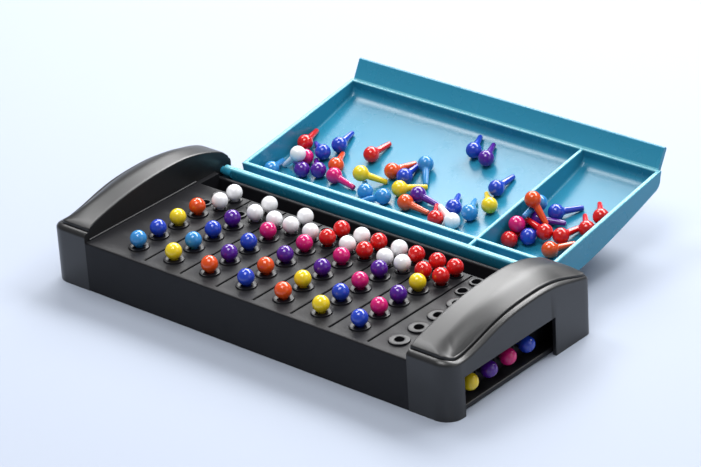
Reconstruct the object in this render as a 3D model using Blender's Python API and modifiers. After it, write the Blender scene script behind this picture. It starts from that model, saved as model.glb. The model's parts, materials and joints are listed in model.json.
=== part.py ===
"""Code breaking peg game: a small plastic case with a peg board, two arched end hoods and a hinged peg tray.

The case lies along X, its front faces -Y and +Z is up. The origin is the middle of the underside.
Heights named "level" are measured from the surface that the case stands on.
"""
import math

import bmesh
import bpy
from mathutils import Matrix

MM = 0.001

# Peg board: the hole pattern sets the size of the whole game
COLUMNS = 8
ROWS = 4
COLUMN_PITCH = 14.0 * MM
ROW_PITCH = 8.4 * MM
KEY_SPACING = 6.4 * MM
KEY_OFFSET = 9.6 * MM
LEFT_MARGIN = 15.4 * MM
RIGHT_MARGIN = 8.1 * MM
FIRST_ROW_INSET = 7.0 * MM

# Case body between the hoods
DECK_LEVEL = 15.9 * MM
DECK_THICKNESS = 2.0 * MM
WALL = 1.8 * MM
FRONT_CHAMFER = 0.5 * MM
DECK_REAR_MARGIN = 3.4 * MM
WELL_WIDTH = 8.0 * MM
WELL_DEPTH = 8.0 * MM
WELL_FLOOR = 1.6 * MM
REAR_RIB = 1.5 * MM
REAR_RIB_DROP = 1.5 * MM
APRON_CLEARANCE = 0.3 * MM
APRON_INSET = 0.5 * MM
COVER_THICKNESS = 1.6 * MM

# Hole rings and the grooves between columns
RING_HEIGHT = 0.6 * MM
RING_ROOT = 0.6 * MM
CODE_RING_RADIUS = 3.1 * MM
KEY_RING_RADIUS = 2.2 * MM
HOLE_RADIUS = 1.55 * MM
GROOVE_WIDTH = 0.7 * MM
GROOVE_DEPTH = 0.6 * MM
GROOVE_FRONT_INSET = 1.8 * MM
RING_SIDES = 8

# The crest of the arch over the board, which the hoods and the shut tray share
CREST_DEPTH = 40.0 * MM
ARCH_STEPS = 18
ROUND_STEPS = 4

# End hoods
HOOD_RISE = 9.6 * MM
HOOD_DROP = 6.3 * MM
HOOD_POWER = 2.1
HOOD_FRONT_ROUND = 2.0 * MM
HOOD_REAR_ROUND = 2.6 * MM
HOOD_FRONT_WALL = 2.8 * MM
BAND_EDGE = 1.1 * MM
BAND_SETBACK = 1.4 * MM
BAND_END_SETBACK = 1.0 * MM
BAND_FOOT_DEPTH = 6.0 * MM
BODY_DROP = 3.7 * MM
BODY_EDGE = 1.0 * MM
CORNER_RADIUS = 4.6 * MM
REAR_CORNER_RADIUS = 1.6 * MM

# Window in the right hood and the code panel behind it
WINDOW_FRONT_POST = 6.6 * MM
WINDOW_LENGTH = 40.4 * MM
WINDOW_HEAD_DROP = 3.7 * MM
CODE_LEVEL = 6.4 * MM
CODE_MARGIN = 6.8 * MM
CODE_HEAD_SETBACK = 3.9 * MM
CODE_TIP_GAP = 0.5 * MM
CODE_PANEL_WALL = 1.8 * MM
CODE_PANEL_LEVEL = 13.0 * MM
CODE_SILL_THICKNESS = 1.4 * MM

# Hinged tray, measured with the tray shut over the board
TRAY_SIDE_GAP = 1.2 * MM
TRAY_EDGE_GAP = 0.5 * MM
TRAY_WALL = 1.4 * MM
TRAY_SKIN = 1.2 * MM
TRAY_RISE = 9.9 * MM
TRAY_DROP = 3.95 * MM
TRAY_POWER = 1.6
TRAY_FRONT_REACH = 0.6 * MM
TRAY_FRONT_ROUND = 4.0 * MM
TRAY_REAR_ROUND = 8.0 * MM
TRAY_SHOULDER_RISE = 1.9 * MM
NEAR_WALL_GAP = 3.0 * MM
DIVIDER_THICKNESS = 1.2 * MM
DIVIDER_COLUMN_GAP = 6.6 * MM
DIVIDER_COLUMN = 5
FLAP_INSET = 1.0 * MM
FLAP_LENGTH = 7.0 * MM
FLAP_ANGLE = math.radians(52)
FLAP_THICKNESS = 1.4 * MM
FLAP_BASE_REACH = 0.4 * MM
RAIL_THICKNESS = 1.6 * MM
RAIL_DROP = 1.8 * MM
OPEN_TURN = math.radians(-171)

# Hinge of the tray: moulded pins in the hoods' inner walls
HINGE_DROP = 0.8 * MM
HINGE_BEHIND_RIB = 2.1 * MM
PIN_RADIUS = 1.2 * MM
PIN_CLEARANCE = 0.3 * MM
PIN_SEAT_MARGIN = 0.4 * MM
PIN_REACH = 1.5 * MM
PIN_BOSS_RADIUS = 1.8 * MM
PIN_BOSS_LENGTH = 3.0 * MM
PIN_SIDES = 12

# Pegs
HEAD_RADIUS = 2.5 * MM
HEAD_LIFT = 0.4 * MM
STEM_LENGTH = 6.0 * MM
STEM_ROOT_RADIUS = 1.1 * MM
STEM_TIP_RADIUS = 0.8 * MM
TIP_CHAMFER = 0.3 * MM
PEG_SIDES = 10
HEAD_STEPS = 5

# Fits shared by all pieces
FIT_GAP = 0.3 * MM
OVERRUN = 1.0 * MM
MERGE = 0.001 * MM

# Sizes that follow from those above: the deck carries the board, and a hood is as wide as a peg on its side
DECK_DEPTH = FIRST_ROW_INSET + (ROWS - 1) * ROW_PITCH + KEY_OFFSET + KEY_SPACING / 2 + DECK_REAR_MARGIN
HINGE_DEPTH = DECK_DEPTH + WELL_WIDTH + REAR_RIB + HINGE_BEHIND_RIB
CASE_DEPTH = HINGE_DEPTH + PIN_RADIUS + PIN_CLEARANCE + WALL + PIN_SEAT_MARGIN
PEG_SEAT = HEAD_LIFT + HEAD_RADIUS
HOOD_WIDTH = WALL + CODE_TIP_GAP + STEM_LENGTH - HEAD_LIFT + PEG_SEAT + CODE_HEAD_SETBACK

# Places that follow from the sizes
FRONT = -CASE_DEPTH / 2
REAR = CASE_DEPTH / 2
BOARD_LENGTH = LEFT_MARGIN + (COLUMNS - 1) * COLUMN_PITCH + RIGHT_MARGIN
LEFT_FACE = -BOARD_LENGTH / 2
RIGHT_FACE = BOARD_LENGTH / 2
FIRST_ROW = FRONT + FIRST_ROW_INSET
KEY_CENTRE = FIRST_ROW + (ROWS - 1) * ROW_PITCH + KEY_OFFSET
DECK_REAR = FRONT + DECK_DEPTH
RIB_FRONT = DECK_REAR + WELL_WIDTH
RIB_REAR = RIB_FRONT + REAR_RIB
HINGE_Y = RIB_REAR + HINGE_BEHIND_RIB
HINGE_Z = DECK_LEVEL - HINGE_DROP
CREST = FRONT + CREST_DEPTH
TRAY_FRONT = FRONT - TRAY_FRONT_REACH
TRAY_REAR = HINGE_Y + RAIL_THICKNESS / 2
TRAY_LEFT = LEFT_FACE + TRAY_SIDE_GAP
TRAY_RIGHT = RIGHT_FACE - TRAY_SIDE_GAP
BAND_FOOT = DECK_LEVEL - BAND_FOOT_DEPTH
WELL_LEVEL = DECK_LEVEL - WELL_DEPTH
APRON_LEVEL = 2 * HINGE_Z - (DECK_LEVEL + TRAY_RISE) - APRON_CLEARANCE

# Finishes: roughness, and colours as linear red, green and blue
CASE_ROUGHNESS = 0.42
TRAY_ROUGHNESS = 0.32
PEG_ROUGHNESS = 0.22
CASE_COLOUR = (0.028, 0.028, 0.032)
TRAY_COLOUR = (0.010, 0.215, 0.415)
PEG_COLOURS = {
    "yellow": (0.90, 0.66, 0.01),
    "orange": (0.82, 0.09, 0.01),
    "red": (0.66, 0.01, 0.01),
    "pink": (0.70, 0.005, 0.14),
    "purple": (0.09, 0.01, 0.25),
    "blue": (0.01, 0.04, 0.42),
    "light_blue": (0.03, 0.20, 0.52),
    "white": (0.80, 0.80, 0.82),
}

# The game on the board: guesses from the front row to the rear row, one column after another
GUESSES = (
    ("light_blue", "blue", "yellow", "orange"),
    ("yellow", "light_blue", "blue", "purple"),
    ("orange", "purple", "blue", "pink"),
    ("blue", "orange", "purple", "pink"),
    ("orange", "yellow", "purple", "pink"),
    ("yellow", "blue", "pink", "purple"),
    ("blue", "pink", "purple", "yellow"),
)
# Answers to each guess, by place in the square of key holes: near or far, left or right
KEYS = (
    {"near_right": "white", "far_right": "white"},
    {"near_right": "white", "far_right": "white"},
    {"near_left": "white", "near_right": "white", "far_right": "white"},
    {"near_left": "white", "near_right": "red", "far_right": "red"},
    {"near_left": "white", "far_left": "white", "near_right": "red", "far_right": "red"},
    {"near_left": "white", "far_left": "white", "near_right": "white", "far_right": "red"},
    {"near_left": "red", "far_left": "red", "near_right": "red", "far_right": "red"},
)
SECRET_CODE = ("yellow", "purple", "pink", "blue")
KEY_PLACES = {"near_left": (-1, -1), "near_right": (1, -1), "far_left": (-1, 1), "far_right": (1, 1)}


def clear_scene():
    """Removes what the file opened with, and makes the two collections."""
    for item in list(bpy.data.objects):
        bpy.data.objects.remove(item, do_unlink=True)
    made = {}
    for name in ("code_breaking_peg_game", "cutters"):
        made[name] = bpy.data.collections.new(name)
        bpy.context.scene.collection.children.link(made[name])
    return made["code_breaking_peg_game"], made["cutters"]


def plastic(name, colour, roughness):
    """A moulded plastic in one colour."""
    material = bpy.data.materials.new(name)
    material.use_nodes = True
    shader = material.node_tree.nodes["Principled BSDF"]
    shader.inputs["Base Color"].default_value = (*colour, 1.0)
    shader.inputs["Roughness"].default_value = roughness
    shader.inputs["Metallic"].default_value = 0.0
    return material


def add_object(name, mesh, collection, material=None):
    """An object that holds a mesh, in a collection."""
    item = bpy.data.objects.new(name, mesh)
    collection.objects.link(item)
    if material:
        mesh.materials.append(material)
    return item


def mesh_from(shape, name):
    """A mesh made from a bmesh, with its doubles merged and its faces outwards."""
    bmesh.ops.remove_doubles(shape, verts=shape.verts, dist=MERGE)
    bmesh.ops.recalc_face_normals(shape, faces=shape.faces)
    mesh = bpy.data.meshes.new(name)
    shape.to_mesh(mesh)
    shape.free()
    return mesh


def extruded(name, outline, low, high, edge=0.0):
    """A mesh of an outline in Y and Z, carried along X from low to high, with its rims rounded by edge."""
    curve = bpy.data.curves.new(name, "CURVE")
    curve.dimensions = "2D"
    curve.fill_mode = "BOTH"
    curve.extrude = (high - low) / 2 - edge
    curve.bevel_depth = edge
    curve.bevel_resolution = 1
    curve.offset = -edge
    spline = curve.splines.new("POLY")
    spline.points.add(len(outline) - 1)
    for point, (y, z) in zip(spline.points, outline):
        point.co = (y, z, 0.0, 1.0)
    spline.use_cyclic_u = True
    guide = bpy.data.objects.new(name, curve)
    bpy.context.scene.collection.objects.link(guide)
    bpy.context.view_layer.update()
    flat = bpy.data.meshes.new_from_object(guide.evaluated_get(bpy.context.evaluated_depsgraph_get()))
    bpy.data.objects.remove(guide, do_unlink=True)
    bpy.data.curves.remove(curve)
    turn = Matrix(((0, 0, 1, (low + high) / 2), (1, 0, 0, 0), (0, 1, 0, 0), (0, 0, 0, 1)))
    flat.transform(turn)
    shape = bmesh.new()
    shape.from_mesh(flat)
    bpy.data.meshes.remove(flat)
    return mesh_from(shape, name)


def box(name, low, high):
    """A box between two corners."""
    shape = bmesh.new()
    size = [b - a for a, b in zip(low, high)]
    centre = [(a + b) / 2 for a, b in zip(low, high)]
    place = Matrix.Translation(centre) @ Matrix.Diagonal((*size, 1))
    bmesh.ops.create_cube(shape, size=1, matrix=place)
    return mesh_from(shape, name)


def cylinders(name, centres, radius, depth, sides, axis="Z"):
    """Equal closed cylinders about the given centres, in one mesh."""
    turn = Matrix.Rotation(math.pi / 2, 4, "Y") if axis == "X" else Matrix.Identity(4)
    shape = bmesh.new()
    for centre in centres:
        bmesh.ops.create_cone(
            shape, cap_ends=True, segments=sides, radius1=radius, radius2=radius, depth=depth,
            matrix=Matrix.Translation(centre) @ turn @ Matrix.Rotation(math.pi / sides, 4, "Z"),
        )
    return mesh_from(shape, name)


def shape_with(target, operation, tool_name, mesh, cutters):
    """Joins a mesh to an object, cuts it away or keeps only what they share, with a Boolean."""
    tool = add_object(tool_name, mesh, cutters)
    tool.hide_render = True
    tool.display_type = "WIRE"
    if target.parent or target.location.length:
        tool.parent = target
    modifier = target.modifiers.new(tool_name, "BOOLEAN")
    modifier.operation = operation
    modifier.solver = "EXACT"
    modifier.object = tool
    return tool


def rounding(centre, radius, start, end):
    """Points of an arc in Y and Z, from one angle to another."""
    turns = [start + (end - start) * i / ROUND_STEPS for i in range(ROUND_STEPS + 1)]
    return [(centre[0] + radius * math.cos(a), centre[1] + radius * math.sin(a)) for a in turns]


def column_x(column):
    return LEFT_FACE + LEFT_MARGIN + column * COLUMN_PITCH


def row_y(row):
    return FIRST_ROW + row * ROW_PITCH


def code_holes():
    """Centres of the guess holes, column after column."""
    return [(column_x(c), row_y(r)) for c in range(COLUMNS) for r in range(ROWS)]


def key_hole(column, place):
    """Centre of one key hole of a column."""
    side, depth = KEY_PLACES[place]
    return column_x(column) + side * KEY_SPACING / 2, KEY_CENTRE + depth * KEY_SPACING / 2


def key_holes():
    return [key_hole(c, place) for c in range(COLUMNS) for place in KEY_PLACES]


def case_section():
    """The case body's outer section: front wall, deck, rear rib and apron."""
    apron_rear = REAR - APRON_INSET
    return [
        (FRONT, 0.0),
        (apron_rear, 0.0),
        (apron_rear, APRON_LEVEL),
        (RIB_REAR, APRON_LEVEL),
        (RIB_REAR, DECK_LEVEL - REAR_RIB_DROP),
        (RIB_FRONT, DECK_LEVEL - REAR_RIB_DROP),
        (RIB_FRONT, DECK_LEVEL),
        (FRONT + FRONT_CHAMFER, DECK_LEVEL),
        (FRONT, DECK_LEVEL - FRONT_CHAMFER),
    ]


def case_hollow():
    """The section of the room under the deck, open at the bottom."""
    rear = REAR - APRON_INSET - WALL
    return [
        (FRONT + WALL, -OVERRUN),
        (rear, -OVERRUN),
        (rear, APRON_LEVEL - WELL_FLOOR),
        (RIB_REAR - WALL, APRON_LEVEL - WELL_FLOOR),
        (RIB_REAR - WALL, WELL_LEVEL - WELL_FLOOR),
        (DECK_REAR - WALL, WELL_LEVEL - WELL_FLOOR),
        (DECK_REAR - WALL, DECK_LEVEL - DECK_THICKNESS),
        (FRONT + WALL, DECK_LEVEL - DECK_THICKNESS),
    ]


def build_main_case(collection, cutters, material):
    """Deck, front wall, well and low rear apron in one moulding, with its rings, holes and grooves."""
    left, right = LEFT_FACE + FIT_GAP, RIGHT_FACE - FIT_GAP
    case = add_object("main_case", extruded("main_case", case_section(), left, right), collection, material)
    hollow = extruded("case_hollow", case_hollow(), left + WALL, right - WALL)
    shape_with(case, "DIFFERENCE", "case_hollow", hollow, cutters)
    well = box(
        "rear_well",
        (left + WALL, DECK_REAR, WELL_LEVEL),
        (right - WALL, RIB_FRONT, DECK_LEVEL + OVERRUN),
    )
    shape_with(case, "DIFFERENCE", "rear_well", well, cutters)
    ring_centre = DECK_LEVEL + (RING_HEIGHT - RING_ROOT) / 2
    for name, holes, radius in (
        ("code_rings", code_holes(), CODE_RING_RADIUS),
        ("key_rings", key_holes(), KEY_RING_RADIUS),
    ):
        centres = [(x, y, ring_centre) for x, y in holes]
        rings = cylinders(name, centres, radius, RING_HEIGHT + RING_ROOT, RING_SIDES)
        shape_with(case, "UNION", name, rings, cutters)
    hole_depth = DECK_THICKNESS + RING_HEIGHT + 2 * OVERRUN
    hole_centre = DECK_LEVEL + (RING_HEIGHT - DECK_THICKNESS) / 2
    centres = [(x, y, hole_centre) for x, y in code_holes() + key_holes()]
    holes = cylinders("peg_holes", centres, HOLE_RADIUS, hole_depth, RING_SIDES)
    shape_with(case, "DIFFERENCE", "peg_holes", holes, cutters)
    for column in range(COLUMNS - 1):
        middle = column_x(column) + COLUMN_PITCH / 2
        groove = box(
            f"column_groove_{column + 1}",
            (middle - GROOVE_WIDTH / 2, FRONT + GROOVE_FRONT_INSET, DECK_LEVEL - GROOVE_DEPTH),
            (middle + GROOVE_WIDTH / 2, DECK_REAR + OVERRUN, DECK_LEVEL + OVERRUN),
        )
        shape_with(case, "DIFFERENCE", f"column_groove_{column + 1}", groove, cutters)


def build_bottom_cover(collection, material):
    """The plate that closes the case body from below."""
    side = FIT_GAP + WALL + FIT_GAP
    low = (LEFT_FACE + side, FRONT + WALL + FIT_GAP, 0.0)
    high = (RIGHT_FACE - side, REAR - APRON_INSET - WALL - FIT_GAP, COVER_THICKNESS)
    add_object("bottom_cover", box("bottom_cover", low, high), collection, material)


def arch_level(y, rise, drop, power):
    """Height of an arch over the board: from the crest it falls to both ends by a power of the distance."""
    reach = CREST - FRONT if y < CREST else REAR - CREST
    return DECK_LEVEL + rise - drop * abs((y - CREST) / reach) ** power


def arch_points(front, rear, front_round, rear_round, rise, drop, power):
    """Points of an arch from front to rear, with a rounded edge at each end."""
    start, end = front + front_round, rear - rear_round
    steps = [start + (end - start) * i / ARCH_STEPS for i in range(1, ARCH_STEPS)]
    front_centre = (start, arch_level(start, rise, drop, power) - front_round)
    rear_centre = (end, arch_level(end, rise, drop, power) - rear_round)
    return (
        rounding(front_centre, front_round, math.pi, math.pi / 2)
        + [(y, arch_level(y, rise, drop, power)) for y in steps]
        + rounding(rear_centre, rear_round, math.pi / 2, 0.0)
    )


def hood_section(lowered, front_inset=0.0, rear_inset=0.0, bottom=0.0):
    """A hood's section under its arch, lowered by a distance and drawn in from both ends."""
    front, rear = FRONT + front_inset, REAR - rear_inset
    arch = arch_points(
        front, rear, HOOD_FRONT_ROUND, HOOD_REAR_ROUND, HOOD_RISE - lowered, HOOD_DROP, HOOD_POWER
    )
    return [(front, bottom)] + arch + [(rear, bottom)]


def hood_plan(name, inner, outer):
    """The hood's footprint as an upright prism, with its two outer corners rounded."""
    side = 1 if outer > inner else -1
    centres = (
        (outer - side * REAR_CORNER_RADIUS, REAR - REAR_CORNER_RADIUS, REAR_CORNER_RADIUS, math.pi / 2, 0.0),
        (outer - side * CORNER_RADIUS, FRONT + CORNER_RADIUS, CORNER_RADIUS, 0.0, -math.pi / 2),
    )
    points = [(inner, REAR)]
    for x, y, radius, start, end in centres:
        turns = [start + (end - start) * i / (2 * ROUND_STEPS) for i in range(2 * ROUND_STEPS + 1)]
        points += [(x + side * radius * math.cos(a), y + radius * math.sin(a)) for a in turns]
    points.append((inner, FRONT))
    shape = bmesh.new()
    face = shape.faces.new([shape.verts.new((x, y, -OVERRUN)) for x, y in points])
    raised = bmesh.ops.extrude_face_region(shape, geom=[face])
    top = [v for v in raised["geom"] if isinstance(v, bmesh.types.BMVert)]
    bmesh.ops.translate(shape, verts=top, vec=(0, 0, DECK_LEVEL + HOOD_RISE + 2 * OVERRUN))
    return mesh_from(shape, name)


def build_hood(name, inner, outer, collection, cutters, material):
    """An end hood: a lower body, an arched band set back on top of it, and the hollow inside."""
    side = 1 if outer > inner else -1
    lower = sorted((inner - side * BODY_EDGE, outer))
    band = sorted((inner - side * BAND_EDGE, outer - side * BAND_SETBACK))
    room = sorted((inner + side * WALL, outer - side * WALL))
    body = extruded(name, hood_section(BODY_DROP), *lower, BODY_EDGE)
    hood = add_object(name, body, collection, material)
    arch = hood_section(0.0, BAND_END_SETBACK, BAND_END_SETBACK, BAND_FOOT)
    shape_with(hood, "UNION", f"{name}_band", extruded(f"{name}_band", arch, *band, BAND_EDGE), cutters)
    shape_with(hood, "INTERSECT", f"{name}_plan", hood_plan(f"{name}_plan", inner, outer), cutters)
    inside = hood_section(WALL + BODY_DROP, HOOD_FRONT_WALL, WALL, -OVERRUN)
    hollow = extruded(f"{name}_hollow", inside, *room)
    shape_with(hood, "DIFFERENCE", f"{name}_hollow", hollow, cutters)
    pin_seat = cylinders(
        f"{name}_pin_seat", [(inner + side * WALL / 2, HINGE_Y, HINGE_Z)],
        PIN_RADIUS + PIN_CLEARANCE, WALL + 2 * OVERRUN, PIN_SIDES, "X",
    )
    shape_with(hood, "DIFFERENCE", f"{name}_pin_seat", pin_seat, cutters)
    return hood


def build_window(hood, cutters):
    """Cuts the window through which the secret code is set and read, open at the bottom."""
    outer = RIGHT_FACE + HOOD_WIDTH
    low = (outer - WALL - OVERRUN, FRONT + WINDOW_FRONT_POST, -OVERRUN)
    high = (outer + OVERRUN, low[1] + WINDOW_LENGTH, DECK_LEVEL - WINDOW_HEAD_DROP)
    shape_with(hood, "DIFFERENCE", "code_window", box("code_window", low, high), cutters)


def code_head_x():
    return RIGHT_FACE + HOOD_WIDTH - CODE_HEAD_SETBACK


def code_y(place):
    """Place of a secret peg, counted from the window's front edge."""
    return FRONT + WINDOW_FRONT_POST + CODE_MARGIN + place * ROW_PITCH


def build_code_panel(collection, cutters, material):
    """The upright panel in the right hood that holds the secret code, with a sill along its foot."""
    face = code_head_x() - PEG_SEAT
    inner = RIGHT_FACE + WALL + FIT_GAP
    front = FRONT + HOOD_FRONT_WALL + FIT_GAP
    rear = REAR - WALL - FIT_GAP
    low, high = (inner, front, FIT_GAP), (face, rear, CODE_PANEL_LEVEL)
    panel = add_object("code_panel", box("code_panel", low, high), collection, material)
    room_low = (inner - OVERRUN, front + CODE_PANEL_WALL, -OVERRUN)
    room_high = (face - CODE_PANEL_WALL, rear - CODE_PANEL_WALL, CODE_PANEL_LEVEL - CODE_PANEL_WALL)
    shape_with(panel, "DIFFERENCE", "panel_room", box("panel_room", room_low, room_high), cutters)
    sill_low = (face - CODE_PANEL_WALL / 2, front, FIT_GAP)
    sill_high = (RIGHT_FACE + HOOD_WIDTH - WALL - FIT_GAP, rear, FIT_GAP + CODE_SILL_THICKNESS)
    shape_with(panel, "UNION", "code_sill", box("code_sill", sill_low, sill_high), cutters)
    ring_centre = face + (RING_HEIGHT - RING_ROOT) / 2
    rings = cylinders(
        "panel_rings", [(ring_centre, code_y(i), CODE_LEVEL) for i in range(ROWS)],
        CODE_RING_RADIUS, RING_HEIGHT + RING_ROOT, RING_SIDES, "X",
    )
    shape_with(panel, "UNION", "panel_rings", rings, cutters)
    holes = cylinders(
        "panel_holes", [(face, code_y(i), CODE_LEVEL) for i in range(ROWS)],
        HOLE_RADIUS, 2 * (CODE_PANEL_WALL + OVERRUN), RING_SIDES, "X",
    )
    shape_with(panel, "DIFFERENCE", "panel_holes", holes, cutters)


def from_hinge(points):
    """Points in Y and Z, measured from the hinge's axis instead of the origin."""
    return [(y - HINGE_Y, z - HINGE_Z) for y, z in points]


def tray_section():
    """The shut tray's outer section: rail, arched skin and shoulder over the flap."""
    arch = arch_points(
        TRAY_FRONT, TRAY_REAR, TRAY_FRONT_ROUND, TRAY_REAR_ROUND, TRAY_RISE, TRAY_DROP, TRAY_POWER
    )
    edge = DECK_LEVEL + TRAY_EDGE_GAP
    rail_front, rail_foot = TRAY_REAR - RAIL_THICKNESS, HINGE_Z - RAIL_DROP
    return [(TRAY_FRONT, edge)] + arch + [(TRAY_REAR, rail_foot), (rail_front, rail_foot), (rail_front, edge)]


def flap_section():
    """The flap that hangs before the case's front wall when the tray is shut."""
    base = (FRONT - FLAP_BASE_REACH, DECK_LEVEL + TRAY_EDGE_GAP)
    along = (-math.cos(FLAP_ANGLE), -math.sin(FLAP_ANGLE))
    across = (-math.sin(FLAP_ANGLE), math.cos(FLAP_ANGLE))
    corners = ((0.0, 0.0), (FLAP_LENGTH, 0.0), (FLAP_LENGTH, FLAP_THICKNESS), (0.0, FLAP_THICKNESS))
    flap = [
        (base[0] + reach * along[0] + depth * across[0], base[1] + reach * along[1] + depth * across[1])
        for reach, depth in corners
    ]
    shoulder, inside = DECK_LEVEL + TRAY_SHOULDER_RISE, TRAY_FRONT + TRAY_SKIN / 2
    return flap + [(TRAY_FRONT, shoulder), (inside, shoulder), (inside, base[1])]


def tray_room(low, high):
    """Section of a room under the tray's skin between two places, open at the tray's edge."""
    ceiling = arch_points(
        TRAY_FRONT + TRAY_SKIN, TRAY_REAR - TRAY_SKIN, TRAY_FRONT_ROUND - TRAY_SKIN,
        TRAY_REAR_ROUND - TRAY_SKIN, TRAY_RISE - TRAY_SKIN, TRAY_DROP, TRAY_POWER,
    )
    floor = DECK_LEVEL + TRAY_EDGE_GAP - OVERRUN
    inside = [(y, z) for y, z in ceiling if low < y < high]
    ends = [(y, between(ceiling, y)) for y in (low, high)]
    return [(low, floor), ends[0]] + inside + [ends[1], (high, floor)]


def between(points, y):
    """Height at a place on a line through points that run along Y, or the first point's height."""
    for (y_a, z_a), (y_b, z_b) in zip(points, points[1:]):
        if y_a <= y <= y_b:
            return z_a + (z_b - z_a) * (y - y_a) / (y_b - y_a)
    return points[0][1]


def build_tray(collection, cutters, material):
    """The hinged peg tray: a large and a small room, a gutter behind the rail, a flap and two hinge pins."""
    body = extruded("tray", from_hinge(tray_section()), TRAY_LEFT, TRAY_RIGHT)
    tray = add_object("tray", body, collection, material)
    tray.location = (0.0, HINGE_Y, HINGE_Z)
    tray.rotation_euler = (OPEN_TURN, 0.0, 0.0)
    flap = extruded("flap", from_hinge(flap_section()), TRAY_LEFT + FLAP_INSET, TRAY_RIGHT - FLAP_INSET)
    shape_with(tray, "UNION", "flap", flap, cutters)
    near = DECK_REAR + NEAR_WALL_GAP
    room = from_hinge(tray_room(TRAY_FRONT + TRAY_SKIN, near))
    gutter = from_hinge(tray_room(near + TRAY_WALL, TRAY_REAR - RAIL_THICKNESS))
    divider = column_x(DIVIDER_COLUMN) + DIVIDER_COLUMN_GAP
    cells = (
        ("large_room", room, TRAY_LEFT + TRAY_WALL, divider - DIVIDER_THICKNESS / 2),
        ("small_room", room, divider + DIVIDER_THICKNESS / 2, TRAY_RIGHT - TRAY_WALL),
        ("left_gutter", gutter, TRAY_LEFT - OVERRUN, divider - DIVIDER_THICKNESS / 2),
        ("right_gutter", gutter, divider + DIVIDER_THICKNESS / 2, TRAY_RIGHT + OVERRUN),
    )
    for name, section, low, high in cells:
        shape_with(tray, "DIFFERENCE", name, extruded(name, section, low, high), cutters)
    for name, end, side in (("left", TRAY_LEFT, -1), ("right", TRAY_RIGHT, 1)):
        middle = end - side * PIN_BOSS_LENGTH / 2
        boss = cylinders("pin_boss", [(middle, 0, 0)], PIN_BOSS_RADIUS, PIN_BOSS_LENGTH, PIN_SIDES, "X")
        shape_with(tray, "UNION", f"{name}_pin_boss", boss, cutters)
        reach = TRAY_SIDE_GAP + PIN_REACH + PIN_BOSS_LENGTH / 2
        pin = cylinders("pin", [(middle + side * reach / 2, 0, 0)], PIN_RADIUS, reach, PIN_SIDES, "X")
        shape_with(tray, "UNION", f"{name}_pin", pin, cutters)


def peg_mesh(name):
    """A peg turned about its own axis: a ball head over a stem that tapers to a chamfered tip."""
    root_turn = math.asin(STEM_ROOT_RADIUS / HEAD_RADIUS)
    turns = [(math.pi - root_turn) * i / HEAD_STEPS for i in range(HEAD_STEPS + 1)]
    profile = [(HEAD_RADIUS * math.sin(a), PEG_SEAT + HEAD_RADIUS * math.cos(a)) for a in turns]
    tip = HEAD_LIFT - STEM_LENGTH
    profile += [(STEM_TIP_RADIUS, tip + TIP_CHAMFER), (STEM_TIP_RADIUS - TIP_CHAMFER, tip), (0.0, tip)]
    profile_mesh = bpy.data.meshes.new(name)
    points = [(radius, 0.0, level) for radius, level in profile]
    profile_mesh.from_pydata(points, [(i, i + 1) for i in range(len(points) - 1)], [])
    guide = bpy.data.objects.new(name, profile_mesh)
    bpy.context.scene.collection.objects.link(guide)
    screw = guide.modifiers.new("turn", "SCREW")
    screw.steps = PEG_SIDES
    screw.render_steps = PEG_SIDES
    screw.use_merge_vertices = True
    screw.merge_threshold = MERGE
    bpy.context.view_layer.update()
    turned = bpy.data.meshes.new_from_object(guide.evaluated_get(bpy.context.evaluated_depsgraph_get()))
    bpy.data.objects.remove(guide, do_unlink=True)
    shape = bmesh.new()
    shape.from_mesh(turned)
    bpy.data.meshes.remove(turned)
    mesh = mesh_from(shape, name)
    mesh.shade_smooth()
    return mesh


def place_peg(name, meshes, colour, location, collection, sideways=False):
    """A peg with its origin where its axis meets the face that it stands on."""
    item = bpy.data.objects.new(name, meshes[colour])
    item.location = location
    if sideways:
        item.rotation_euler = (0.0, math.pi / 2, 0.0)
    collection.objects.link(item)


def build_pegs(collection):
    """Guess pegs and key pegs on the board, and the secret code in its panel."""
    meshes = {}
    for colour, value in PEG_COLOURS.items():
        meshes[colour] = peg_mesh(f"peg_{colour}")
        meshes[colour].materials.append(plastic(f"peg_{colour}", value, PEG_ROUGHNESS))
    for column, guess in enumerate(GUESSES):
        letter = "ABCDEFGH"[column]
        for row, colour in enumerate(guess):
            place = (column_x(column), row_y(row), DECK_LEVEL)
            place_peg(f"guess_peg_{letter}{row + 1}", meshes, colour, place, collection)
        for where, colour in KEYS[column].items():
            place = (*key_hole(column, where), DECK_LEVEL)
            place_peg(f"key_peg_{letter}_{where}", meshes, colour, place, collection)
    face = code_head_x() - PEG_SEAT
    for i, colour in enumerate(SECRET_CODE):
        place = (face, code_y(i), CODE_LEVEL)
        place_peg(f"secret_peg_{i + 1}", meshes, colour, place, collection, sideways=True)


def main():
    collection, cutters = clear_scene()
    case_plastic = plastic("case_plastic", CASE_COLOUR, CASE_ROUGHNESS)
    tray_plastic = plastic("tray_plastic", TRAY_COLOUR, TRAY_ROUGHNESS)
    build_main_case(collection, cutters, case_plastic)
    build_bottom_cover(collection, case_plastic)
    build_hood("left_hood", LEFT_FACE, LEFT_FACE - HOOD_WIDTH, collection, cutters, case_plastic)
    right = build_hood("right_hood", RIGHT_FACE, RIGHT_FACE + HOOD_WIDTH, collection, cutters, case_plastic)
    build_window(right, cutters)
    build_code_panel(collection, cutters, case_plastic)
    build_tray(collection, cutters, tray_plastic)
    build_pegs(collection)


main()
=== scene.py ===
"""Code breaking peg game: finished surfaces for the case, its hoods, the hinged tray and the pegs.

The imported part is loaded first, and every piece below takes its place from it. Lengths are metres,
+X runs along the case towards the hood with the code window, -Y is the front and +Z is up.
"""

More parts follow.
